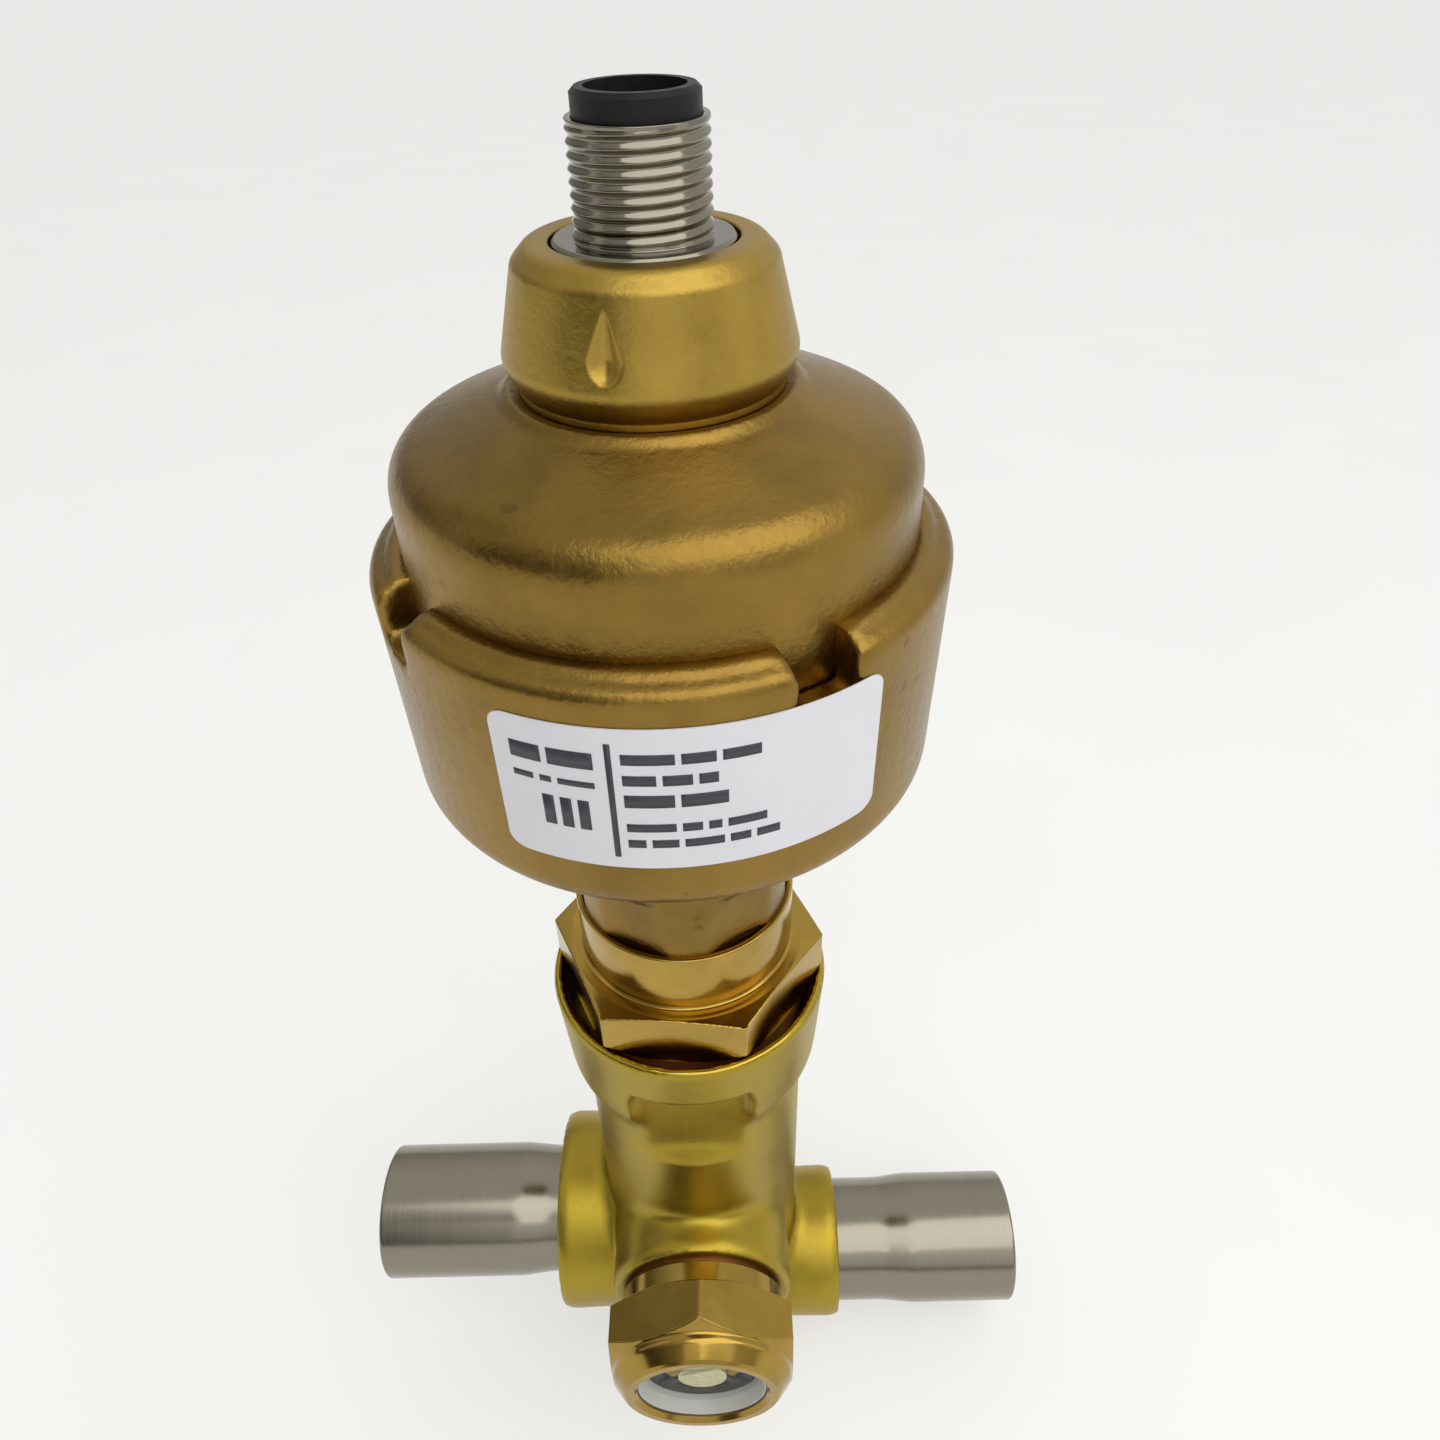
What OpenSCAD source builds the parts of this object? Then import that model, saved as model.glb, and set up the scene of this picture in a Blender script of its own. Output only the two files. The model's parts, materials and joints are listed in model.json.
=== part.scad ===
// Electronic expansion valve with a stepper motor drive, a sight glass and a round plug connector.
// Millimetres. The origin is the centre of the flat base on the valve's axis, and +Z is up.
// The inlet points along -X, the outlet along +X and the sight glass along -Y.

/* [Valve body] */
// Diameter of the body tube
tube_d = 31.8; // [30.4:0.2:33]
// Height of the body tube from the base to the shoulder
tube_h = 76.4; // [74:0.2:80]
// Height of the sloping shoulder under the cup
shoulder_h = 5; // [3:0.2:7]
// Height of the cup from the shoulder to its rim
cup_h = 15.2; // [14:0.2:18]
// Diameter of the cup at its rim
cup_d = 38; // [37.8:0.1:40]
// Draft of the cup's wall, taken off the radius at its foot
cup_draft = 1; // [0.5:0.1:1.4]
// Thickness of the cup's wall
cup_wall = 1.2; // [0.8:0.1:1.3]
// Depth of the cup
cup_depth = 3.4; // [2:0.2:5]
// Chamfer round the base
base_chamfer = 1.5; // [0.5:0.1:2.5]
// Diameter of the valve chamber
chamber_d = 20; // [19:0.2:21]
// Diameter of the chamber under the orifice
outlet_chamber_d = 14; // [13:0.2:15]
// Half width of the milled pad on the body's front
pad_half_w = 8; // [5:0.5:9]
// Height of the milled pad
pad_h = 17; // [12:0.5:19]

/* [Ports] */
// Height of the inlet's axis
inlet_h = 29; // [28.5:0.5:31]
// Height of the outlet's axis
outlet_h = 15; // [14:0.5:15]
// Diameter of the inlet boss
inlet_boss_d = 32.2; // [28:0.2:34]
// Diameter of the outlet boss
outlet_boss_d = 25.4; // [24:0.2:27]
// Distance from the valve's axis to the inlet boss's face
inlet_boss_reach = 24; // [23:0.5:27]
// Distance from the valve's axis to the outlet boss's face
outlet_boss_reach = 23.5; // [23:0.5:27]
// Diameter of the inlet passage
inlet_way_d = 11; // [8:0.5:11]
// Diameter of the outlet passage
outlet_way_d = 10.4; // [8:0.2:10.6]
// Distance from the valve's axis to each stub's end
stub_reach = 55; // [52:0.5:64]
// Outer diameter of a stub
stub_d = 21.8; // [21.4:0.1:23]
// Diameter of a stub's neck beside the boss
stub_neck_d = 20.6; // [19.6:0.2:21.2]
// Length of the outlet stub's neck
outlet_neck_l = 8.5; // [5:0.5:9.5]
// Length of the inlet stub's neck
inlet_neck_l = 2.5; // [2:0.5:8]
// Diameter of the solder socket in a stub's end
socket_d = 19.1; // [18:0.1:19.6]
// Depth of the solder socket
socket_depth = 17; // [12:0.5:18]
// Depth to which a stub is let into its boss
stub_seat = 5; // [3:0.5:5.5]

/* [Sight glass] */
// Height of the sight glass's axis
sight_h = 41; // [40:0.5:43]
// Diameter of the sight glass boss
sight_boss_d = 28; // [27:0.2:29.6]
// Distance from the valve's axis to the sight glass boss's face
sight_boss_reach = 21; // [20:0.5:23]
// Size across the flats of the sight glass nut
sight_nut_af = 27; // [26:0.5:28]
// Length of the hexagon on the sight glass nut
sight_hex_l = 7.4; // [6:0.2:8]
// Length of the rounded nose in front of the hexagon
sight_nose_l = 3.4; // [3:0.2:5]
// Diameter of the nose's front lip
sight_lip_d = 23.4; // [22.8:0.2:24.4]
// Diameter of the glass
glass_d = 19; // [18:0.2:20]
// Thickness of the glass
glass_t = 2; // [1.6:0.2:3]
// Depth of the glass behind the lip
glass_recess = 0.6; // [0.4:0.2:1.4]
// Diameter of the moisture indicator
indicator_d = 7.2; // [5:0.2:8]

/* [Valve gear] */
// Lift of the piston from closed to fully open
stroke = 13; // [10:0.5:14]
// Diameter of the piston
piston_d = 16; // [15.6:0.1:16.4]
// Length of the piston above its seat
piston_h = 34; // [33:0.5:36]
// Length of the tapered plug under the seat
plug_h = 6.5; // [5:0.5:7]
// Diameter of the orifice
orifice_d = 11; // [9:0.2:11.6]
// Thickness of the orifice ring
orifice_t = 3; // [2:0.2:3.2]
// Diameter of the spindle's lead screw
screw_d = 6; // [5:0.2:6.6]
// Diameter of the spindle's shaft
shaft_d = 8; // [7:0.2:8.6]
// Running clearance on the radius of turning and sliding pieces
run_gap = 0.05; // [0.03:0.01:0.08]

/* [Bonnet] */
// Size across the flats of the bonnet nut
nut_af = 32; // [31:0.2:32]
// Height of the bonnet nut's hexagon
nut_hex_h = 9; // [7:0.2:12]
// Turn of the bonnet nut about the axis
nut_turn = -6; // [-30:1:30]
// Diameter of the collar above the hexagon
collar_d = 28.4; // [28.2:0.1:29.4]
// Height of the collar
collar_h = 9.5; // [8:0.2:13]
// Depth of the collar's recess for the neck
collar_recess = 1; // [0.8:0.1:1.6]
// Width of the gasket's land between the bonnet nut's thread and its flats
gasket_land = 3; // [2:0.1:3.4]
// Length of that thread
bonnet_thread_l = 12; // [10:0.2:13]
// Thickness of the body gasket
gasket_t = 1.4; // [0.8:0.1:2]

/* [Housing] */
// Size across the flats of the neck
neck_af = 25.6; // [24.8:0.2:26]
// Diameter over the neck's rounded corners
neck_d = 27.1; // [26.4:0.1:27.2]
// Turn of the neck about the axis
neck_turn = 3; // [-30:1:30]
// Height of the neck
neck_h = 25.2; // [24:0.2:32]
// Height of the neck's round part, between its flats and the lower housing
neck_root_h = 15.5; // [12:0.5:18]
// Diameter of the neck's thread in the bonnet nut
neck_thread_d = 21; // [19:0.2:22]
// Length of that thread
neck_thread_l = 10; // [7:0.5:11]
// Height of the lower housing
lower_h = 27.3; // [27:0.1:30]
// Diameter of the lower housing at its foot
lower_foot_d = 57.4; // [56.6:0.2:58]
// Diameter of the lower housing at its rim
lower_rim_d = 58.6; // [58.2:0.2:61]
// Corner radius round the lower housing's foot
lower_corner_r = 3.6; // [3:0.1:4.4]
// Thickness of the lower housing's floor
lower_floor = 4.5; // [4:0.1:5.5]
// Inner diameter of the lower housing
lower_inner_d = 48.8; // [47:0.2:49.4]
// Depth of the upper housing's seat under the rim
seat_depth = 6; // [5.5:0.5:7]
// Width of a notch in the rim
notch_w = 6; // [3:0.5:8]
// Depth of a notch in the rim
notch_depth = 5; // [2:0.2:5.2]
// Number of notches
notch_count = 4; // [2:1:6]
// Turn of the first notch from the sight glass
notch_turn = 31; // [0:1:60]
// Diameter of the upper housing's wall
upper_d = 51.4; // [51:0.2:52.4]
// Height of the upper housing above its seat
upper_h = 20.8; // [20:0.1:23]
// Slope of the upper housing's roof in degrees
roof_slope = 21; // [14:1:24]
// Radius of the upper housing's shoulder
shoulder_r = 4.5; // [3:0.5:6]
// Thickness of the upper housing's wall
upper_wall = 3; // [2:0.1:3.4]
// Radius of the rounded outer edge of the rim
rim_edge_r = 1.6; // [0.8:0.1:2]
// Fitting gap on the radius between housings
fit_gap = 0.05; // [0.02:0.01:0.1]

/* [Label] */
// Height of the label's lower edge above the foot of the lower housing
label_lift = 7.2; // [6:0.2:9]
// Height of the label
label_h = 16.6; // [10:0.2:17]
// Width of the label as seen from the front
label_w = 34.8; // [30:0.2:44]
// Turn of the label's centre from the sight glass
label_turn = 6.5; // [-30:0.5:30]
// Corner radius of the label
label_corner_r = 1.6; // [0.5:0.1:3]
// Thickness of the label
label_t = 0.15; // [0.1:0.05:0.3]

/* [Motor and gears] */
// Gear module
gear_m = 0.5; // [0.46:0.01:0.5]
// Teeth on a gear wheel
wheel_teeth = 38; // [36:1:38]
// Teeth on a pinion
pinion_teeth = 13; // [12:1:14]
// Width of a gear wheel
wheel_w = 2.6; // [2:0.1:2.8]
// Thinning of each tooth for backlash
backlash = 0.1; // [0.06:0.01:0.14]
// Diameter of the idler pin
idler_pin_d = 2.5; // [2:0.1:3]
// Diameter of the stator
stator_d = 38; // [34:0.5:40]
// Height of one half of the stator
stator_half_h = 7.2; // [6:0.1:7.4]
// Diameter of the rotor magnet
rotor_d = 20; // [17:0.2:20.4]
// Air gap between rotor and stator
air_gap = 0.4; // [0.3:0.05:0.6]
// Diameter of the rotor shaft
rotor_shaft_d = 3; // [2.4:0.1:3.4]
// Thickness of the motor plate
plate_t = 2; // [1.5:0.1:2.4]

/* [Gland and connector] */
// Largest diameter of the gland cap
gland_d = 27.4; // [27:0.2:29]
// Diameter of the gland cap's top face
gland_top_d = 23.4; // [22.8:0.2:24.4]
// Diameter of the gland cap's foot
gland_foot_d = 24.8; // [24.2:0.2:26]
// Height of the gland cap
gland_h = 12.7; // [12:0.1:14]
// Height of the gland cap's widest line above its foot
gland_belly_h = 3; // [2:0.2:5]
// Rounding of the gland cap's top edge
gland_edge_r = 1.8; // [1:0.1:2.4]
// Number of dimples round the gland cap
dimple_count = 3; // [2:1:6]
// Half the width of a dimple
dimple_r = 1.6; // [1:0.1:1.8]
// Length of a dimple's tail
dimple_l = 4; // [3:0.2:5]
// Turn of the first dimple from the sight glass
dimple_turn = -14; // [-60:1:60]
// Diameter of the hole in the gland cap
gland_hole_d = 16.6; // [16.2:0.1:17.4]
// Diameter of the connector's thread
connector_d = 12; // [11.6:0.1:12.4]
// Length of the connector's thread
connector_thread_l = 9.1; // [7:0.1:11]
// Diameter of the connector's flange
connector_flange_d = 16.3; // [15.6:0.1:16.4]
// Diameter of the plastic insert
insert_d = 10.7; // [10.2:0.1:10.9]
// Height of the insert above the metal shell
insert_rise = 2.1; // [1:0.1:3]
// Diameter of the insert's socket
insert_bore_d = 8.4; // [8.2:0.1:8.8]
// Depth of the insert's socket
insert_depth = 9; // [7:0.5:10]
// Diameter of the circle of contact pins
pin_circle_d = 7; // [6.8:0.1:7]
// Diameter of a contact pin
pin_d = 1; // [0.8:0.1:1.1]

/* [Hidden] */
$fn = 96;
over = 1;               // how far a cut runs past the face it opens
touch = 0.02;           // gap between faces that only touch

// Body levels and radii
tube_r = tube_d / 2;
cup_r = cup_d / 2;
cup_foot_z = tube_h + shoulder_h;
rim_z = cup_foot_z + cup_h;
cup_floor_z = rim_z - cup_depth;
chamber_r = chamber_d / 2;
outlet_chamber_r = outlet_chamber_d / 2;
way_room = 0.3;         // room above and below the outlet passage in its chamber
outlet_floor_z = outlet_h - outlet_way_d / 2 - way_room;
ledge_z = outlet_h + outlet_way_d / 2 + way_room;
seat_z = ledge_z + orifice_t;
bonnet_thread_r = nut_af / 2 - gasket_land;
bonnet_end_z = cup_floor_z - bonnet_thread_l;
flange_t = 1;           // flange of the piston guide under the bonnet nut
guide_top_z = bonnet_end_z;
guide_ledge_z = guide_top_z - flange_t;
pad_top_gap = 8.4;      // rim left above the milled pad
pad_sink = 1.7;         // depth of the milled pad below the tube's face
pad_y = tube_r - pad_sink;

// Stub radii
stub_r = stub_d / 2;
stub_neck_r = stub_neck_d / 2;
socket_r = socket_d / 2;
spigot_step = 0.8;      // shoulder between a stub's neck and its spigot
spigot_r = stub_neck_r - spigot_step;
socket_stop = 1;        // width of the stop at a socket's end
socket_slope = 1.5;     // length of the cone from that stop to the passage
flare_l = 5;            // length over which a neck widens to the full stub
edge = 0.4;             // broken edge on turned pieces

// Sight glass levels, measured outwards along its own axis
sight_seal_t = 0.6;
sight_face_z = sight_boss_reach + sight_seal_t;
sight_collar_l = 3.2;   // round collar of the nut behind its hexagon
sight_collar_r = 12.4;
sight_hex_z = sight_face_z + sight_collar_l;
sight_nose_z = sight_hex_z + sight_hex_l;
sight_lip_z = sight_nose_z + sight_nose_l;
sight_lip_r = sight_lip_d / 2;
glass_r = glass_d / 2;
glass_front_z = sight_lip_z - glass_recess;
glass_back_z = glass_front_z - glass_t;
sight_ring_t = 1.6;
sight_ring_z = glass_back_z - sight_ring_t;
sight_ring_w = 2.2;     // width of the pale ring behind the glass
sight_ring_inner_r = glass_r - sight_ring_w;
sight_way_r = 6;
sight_thread_r = 9.5;
sight_seal_w = 1.6;     // width of the sight glass nut's gasket
sight_seal_r = sight_thread_r + sight_seal_w;
sight_thread_l = 8;
indicator_r = indicator_d / 2;
indicator_t = 0.8;
lip_slope_l = 2.4;      // length of the slope from the nose to its lip

// Valve gear levels
piston_r = piston_d / 2;
piston_top_z = seat_z + piston_h;
orifice_r = orifice_d / 2;
screw_r = screw_d / 2;
shaft_r = shaft_d / 2;
plug_tip_r = 2;
balance_r = 1;
guide_z = sight_h + sight_way_r;
screw_reach = 11.5;     // from the opened piston's seat face to the screw's tip
hollow_room = 1.2;      // room under the screw's tip in the closed piston
screw_room = 0.6;       // room round the screw in the piston
screw_tip_z = seat_z + stroke + screw_reach;
hollow_z = screw_tip_z - stroke - hollow_room;
hollow_r = screw_r + screw_room;
piston_wall = 2.2;      // wall of the piston round the drive nut
drive_nut_r = piston_r - piston_wall;
drive_nut_h = 8;
drive_nut_z = piston_top_z - drive_nut_h;
seal_z = guide_z + 2;
seal_t = 2;
seal_w = 1.2;           // width of the piston's seal
seal_r = piston_r + seal_w;
key_w = 2;
key_depth = 1;
key_gap = 0.1;
key_z = seal_z + seal_t + 1;
key_h = 5;
groove_z = key_z - stroke - 1;

// Bonnet levels
nut_z = cup_floor_z + gasket_t;
collar_z = nut_z + nut_hex_h;
collar_top_z = collar_z + collar_h;
collar_r = collar_d / 2;
groove_h = 1.4;         // height of the groove round the collar's foot
collar_groove = 0.25;   // depth of that groove
neck_r = neck_d / 2;
neck_room = 0.1;        // room round the neck in the collar
collar_recess_r = neck_r + neck_room;
neck_z = collar_top_z - collar_recess;
neck_thread_r = neck_thread_d / 2;
neck_end_z = neck_z - neck_thread_l;
bush_wall = 2.5;        // wall of the spindle's bush
bush_r = shaft_r + bush_wall;
bush_sink = 0.5;        // how far the bush stays below the hexagon's foot
bush_end_z = nut_z - bush_sink;
thrust_room = 0.5;      // room round the thrust collar
thrust_r = bush_r - thrust_room;
thrust_t = 2;
seal_lift = 0.4;        // room between the thrust collar and the seal
spindle_seal_z = bush_end_z + thrust_t + seal_lift;
bush_pocket_top_z = neck_end_z;

// Housing levels
foot_z = neck_z + neck_h;
lower_rim_z = foot_z + lower_h;
floor_z = foot_z + lower_floor;
seat_level_z = lower_rim_z - seat_depth;
foot_r = lower_foot_d / 2;
rim_r = lower_rim_d / 2;
lower_inner_r = lower_inner_d / 2;
bearing_wall = 4;
bearing_r = shaft_r + bearing_wall;
bearing_h = 6;
neck_bore_r = shaft_r + 1;
upper_r = upper_d / 2;
roof_z = seat_level_z + upper_h;
upper_bore_r = upper_r - upper_wall;
rim_bore_r = upper_r + fit_gap;
bead_r = 0.8;           // rounded bead round the rim's inner edge
bead_lip = 0.6;         // how far the bead's inner side runs up along the dome
seal_ring_r = (upper_r + lower_inner_r) / 2;
seal_section_r = 0.5;

// Gear train levels: the motor pinion drives the idler's wheel, the idler's pinion drives the spindle
pitch_wheel_r = gear_m * wheel_teeth / 2;
pitch_pinion_r = gear_m * pinion_teeth / 2;
gear_span = pitch_wheel_r + pitch_pinion_r;
gear_lift = 1.4;        // room under the spindle's gear
idler_lift = 0.6;       // room under the idler's pinion
spindle_proud = 0.2;    // how far the spindle stands out of its gear
gear_room = 0.5;        // room between the spindle and the idler's wheel
spindle_gear_z = floor_z + gear_lift;
spindle_top_z = spindle_gear_z + wheel_w + spindle_proud;
idler_wheel_z = spindle_top_z + gear_room;
idler_top_z = idler_wheel_z + wheel_w;
motor_pinion_z = idler_wheel_z;
plate_room = 1.2;       // room between the idler's wheel and the motor plate
motor_pinion_h = wheel_w + plate_room * 2 / 3;
plate_z = idler_top_z + plate_room;
stator_z = plate_z + plate_t;
end_plate_z = stator_z + 2 * stator_half_h;
end_plate_t = 1.2;
end_plate_top_z = end_plate_z + end_plate_t;
plate_side = 0.6;       // room between the motor's plates and the dome
plate_r = upper_bore_r - plate_side;
rotor_r = rotor_d / 2;
rotor_shaft_r = rotor_shaft_d / 2;
stator_r = stator_d / 2;
stator_bore_r = rotor_r + air_gap;
stator_sheet = 1.2;
pole_count = 12;
rotor_gap = 0.8;        // room above and below the rotor magnet
shaft_proud = 0.8;      // how far the rotor shaft stands out of the end plate
bearing_bush_wall = 1.5;  // wall of the rotor's bushes
bearing_bush_r = rotor_shaft_r + bearing_bush_wall;
idler_pin_r = idler_pin_d / 2;
pin_seat = 2;           // how deep the idler pin stands in the floor
pillar_r = 2;
pillar_circle_r = plate_r - pillar_r - plate_side;
pillar_count = 3;

// Gland and connector levels
gland_z = roof_z;
gland_top_z = gland_z + gland_h;
gland_foot_h = 0.8;     // height of the straight foot below the slope
gland_lid_t = 3;
gland_wall = 2.2;
shell_flange_t = 2;
boss_r = gland_foot_d / 2 - gland_wall;
boss_top_z = gland_top_z - gland_lid_t - shell_flange_t;
boss_bore_r = 6.6;
plug_r = boss_bore_r - edge / 2;
shell_z = boss_top_z;
shell_flange_r = boss_r - edge;
connector_r = connector_d / 2;
connector_flange_r = connector_flange_d / 2;
connector_flange_t = 1.2;
flange_step = 0.6;
flange_neck_r = connector_flange_r - flange_step;
thread_lift = 0.1;      // how far the thread's foot stands above the gland cap
thread_z = gland_top_z + thread_lift;
shell_top_z = thread_z + connector_thread_l;
insert_r = insert_d / 2;
insert_top_z = shell_top_z + insert_rise;
insert_tail = 3;        // how far the insert reaches below the shell's flange
insert_z = shell_z - insert_tail;
socket_floor_z = insert_top_z - insert_depth;
pin_recess = 1.6;       // depth of the pins' tips below the insert's rim
pin_tail = 2;
pin_tip_z = insert_top_z - pin_recess;
pin_tail_z = insert_z - pin_tail;
pin_circle_r = pin_circle_d / 2;
pin_count = 4;
insulation = 0.1;       // thickness of a lead's insulation
wire_r = pin_d / 2 + insulation;
connector_seal_t = 1;
dimple_tail = 0.6;      // a dimple's tail as a share of its width
dimple_lift = 1.5;      // from the gland cap's widest line to a dimple's foot

// Colours
brass_cast = [0.52, 0.40, 0.18];
brass_forged = [0.68, 0.58, 0.20];
brass_turned = [0.80, 0.64, 0.28];
brass_satin = [0.66, 0.52, 0.24];
steel = [0.66, 0.64, 0.62];
dark_plastic = [0.09, 0.09, 0.10];
copper = [0.75, 0.42, 0.22];
seal_red = [0.72, 0.26, 0.12];
seal_dark = [0.14, 0.14, 0.15];

// Points children outwards along the inlet, the outlet or the sight glass
module along_inlet() { translate([0, 0, inlet_h]) rotate([0, -90, 0]) children(); }
module along_outlet() { translate([0, 0, outlet_h]) rotate([0, 90, 0]) children(); }
module along_sight() { translate([0, 0, sight_h]) rotate([90, 0, 0]) children(); }

// Copies children evenly round the axis
module round_about(count, turn = 0) {
    for (i = [0 : count - 1]) rotate([0, 0, turn + i * 360 / count]) children();
}

module drum(r, z, top) { translate([0, 0, z]) cylinder(r = r, h = top - z); }

// A plain ring between two levels
module ring(outer_r, inner_r, z, top) {
    difference() {
        drum(outer_r, z, top);
        drum(inner_r, z - over, top + over);
    }
}

// A turned cone between two levels
module cone(r_low, r_high, z, top) { translate([0, 0, z]) cylinder(r1 = r_low, r2 = r_high, h = top - z); }

// A hexagonal prism whose corners are chamfered at both ends, with other slopes if they are asked for
module chamfered_hex(af, z, top, foot_slope = chamfer_slope, top_slope = chamfer_slope) {
    corner_r = af / sqrt(3);
    face_r = af / 2 * hex_face_share;
    corner_reach = corner_r - face_r;
    intersection() {
        translate([0, 0, z]) cylinder(r = corner_r, h = top - z, $fn = 6);
        rotate_extrude() polygon([
            [0, z], [face_r, z], [corner_r + touch, z + corner_reach * foot_slope],
            [corner_r + touch, top - corner_reach * top_slope], [face_r, top], [0, top]]);
    }
}
hex_face_share = 0.98;  // a hexagon's round end face as a share of its flats' size
chamfer_slope = 0.5;
foot_chamfer_slope = 1.05;
top_chamfer_slope = 0.22;

// Half the angle that an involute tooth fills at radius r, in degrees
pressure_angle = 20;
function involute(a) = tan(a) * 180 / PI - a;
function tooth_half_angle(r, pitch_r, teeth) =
    90 / teeth - backlash / 2 / pitch_r * 180 / PI + involute(pressure_angle)
    - involute(acos(min(1, pitch_r * cos(pressure_angle) / r)));
function polar(r, a) = [r * cos(a), r * sin(a)];

// A spur gear with its first tooth on +X
module spur_gear(teeth, addendum, width) {
    pitch_r = gear_m * teeth / 2;
    root_r = pitch_r - 1.25 * gear_m;
    flank_r = max(root_r + 0.1, pitch_r * cos(pressure_angle) + 0.02);
    tip_r = pitch_r + addendum * gear_m;
    rise = [root_r, flank_r, (flank_r + tip_r) / 2, tip_r];
    half = [for (r = rise) tooth_half_angle(max(r, flank_r), pitch_r, teeth)];
    linear_extrude(height = width) polygon([
        for (i = [0 : teeth - 1]) each concat(
            [for (k = [0 : 3]) polar(rise[k], i * 360 / teeth - half[k])],
            [for (k = [3 : -1 : 0]) polar(rise[k], i * 360 / teeth + half[k])])]);
}
wheel_addendum = 0.84;
pinion_addendum = 0.95;

// A port boss that widens a little from the tube to its face
module port_boss(r, reach, taper) {
    rotate_extrude() polygon([[0, 0], [r - taper, 0], [r, reach - base_chamfer],
                              [r - edge, reach], [0, reach]]);
}

module valve_body() {
    color(brass_forged) difference() {
        union() {
            rotate_extrude() polygon([
                [0, 0], [tube_r - base_chamfer, 0], [tube_r, base_chamfer], [tube_r, tube_h],
                [cup_r - cup_draft, cup_foot_z], [cup_r, rim_z - edge], [cup_r - edge, rim_z], [0, rim_z]]);
            along_inlet() port_boss(inlet_boss_d / 2, inlet_boss_reach, inlet_boss_d / 2 - tube_r + edge);
            along_outlet() port_boss(outlet_boss_d / 2, outlet_boss_reach, edge);
            along_sight() port_boss(sight_boss_d / 2, sight_boss_reach, edge);
        }
        drum(cup_r - cup_wall, cup_floor_z, rim_z + over);
        drum(bonnet_thread_r, guide_ledge_z, rim_z);
        drum(chamber_r, ledge_z, rim_z);
        drum(outlet_chamber_r, outlet_floor_z, rim_z);
        along_inlet() {
            drum(inlet_way_d / 2, 0, stub_reach);
            drum(spigot_r, inlet_boss_reach - stub_seat, stub_reach);
        }
        along_outlet() {
            drum(outlet_way_d / 2, 0, stub_reach);
            drum(spigot_r, outlet_boss_reach - stub_seat, stub_reach);
        }
        along_sight() {
            drum(sight_way_r, 0, stub_reach);
            drum(sight_thread_r, sight_boss_reach - sight_thread_l, stub_reach);
        }
        translate([-pad_half_w, -pad_y - cup_d, rim_z - pad_top_gap - pad_h])
            cube([2 * pad_half_w, cup_d, pad_h]);
    }
}

// A stub let into its boss, with a neck that widens to the solder socket
module stub(reach, neck_l, way_d) {
    neck_end = reach + neck_l;
    socket_z = stub_reach - socket_depth;
    rotate_extrude() polygon([
        [way_d / 2, reach - stub_seat], [spigot_r, reach - stub_seat], [spigot_r, reach],
        [stub_neck_r, reach], [stub_neck_r, neck_end], [stub_r, neck_end + flare_l],
        [stub_r, stub_reach - edge], [stub_r - edge, stub_reach], [socket_r, stub_reach],
        [socket_r, socket_z], [spigot_r - socket_stop, socket_z], [way_d / 2, socket_z - socket_slope]]);
}

module inlet_stub() { color(steel) along_inlet() stub(inlet_boss_reach, inlet_neck_l, inlet_way_d); }
module outlet_stub() { color(steel) along_outlet() stub(outlet_boss_reach, outlet_neck_l, outlet_way_d); }

// The nut has a corner uppermost and a rounded nose with the window in it
module sight_glass_nut() {
    nose_r = sight_nut_af / 2 - 0.2;
    color(brass_turned) along_sight() difference() {
        union() {
            rotate([0, 0, 30]) chamfered_hex(sight_nut_af, sight_hex_z, sight_nose_z);
            rotate_extrude() intersection() {
                polygon([[0, sight_nose_z - over], [nose_r - 0.3, sight_nose_z - over],
                         [nose_r, sight_nose_z], [nose_r, sight_lip_z - lip_slope_l],
                         [sight_lip_r, sight_lip_z - edge], [sight_lip_r - edge, sight_lip_z],
                         [0, sight_lip_z]]);
                translate([0, sight_nose_z]) circle(r = nose_r + touch);
            }
            drum(sight_collar_r, sight_face_z, sight_hex_z + over);
            drum(sight_thread_r, sight_boss_reach - sight_thread_l + over, sight_face_z + over);
        }
        drum(sight_way_r, 0, stub_reach);
        drum(glass_r, sight_ring_z, stub_reach);
        cone(glass_r, glass_r + glass_recess, glass_front_z, sight_lip_z + touch);
    }
}

module sight_glass() {
    color([0.85, 0.90, 0.88, 0.4]) along_sight() drum(glass_r, glass_back_z, glass_front_z);
}

// The pale retaining ring behind the glass
module sight_ring() {
    color([0.86, 0.88, 0.88]) along_sight() ring(glass_r, sight_ring_inner_r, sight_ring_z, glass_back_z);
}

// The moisture indicator on its disc, held by three legs that reach the ring
module indicator_disc() {
    leg_w = 1.4;
    color([0.93, 0.92, 0.66]) along_sight() {
        drum(indicator_r, glass_back_z - indicator_t, glass_back_z);
        round_about(3, 90) translate([0, -leg_w / 2, glass_back_z - indicator_t])
            cube([sight_ring_inner_r, leg_w, indicator_t / 2]);
    }
}

module sight_gasket() {
    color(copper) along_sight() ring(sight_seal_r, sight_thread_r, sight_boss_reach, sight_face_z);
}

module orifice_ring() {
    color(steel) difference() {
        drum(chamber_r, ledge_z, seat_z);
        drum(orifice_r, ledge_z - over, seat_z + over);
    }
}

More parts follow.
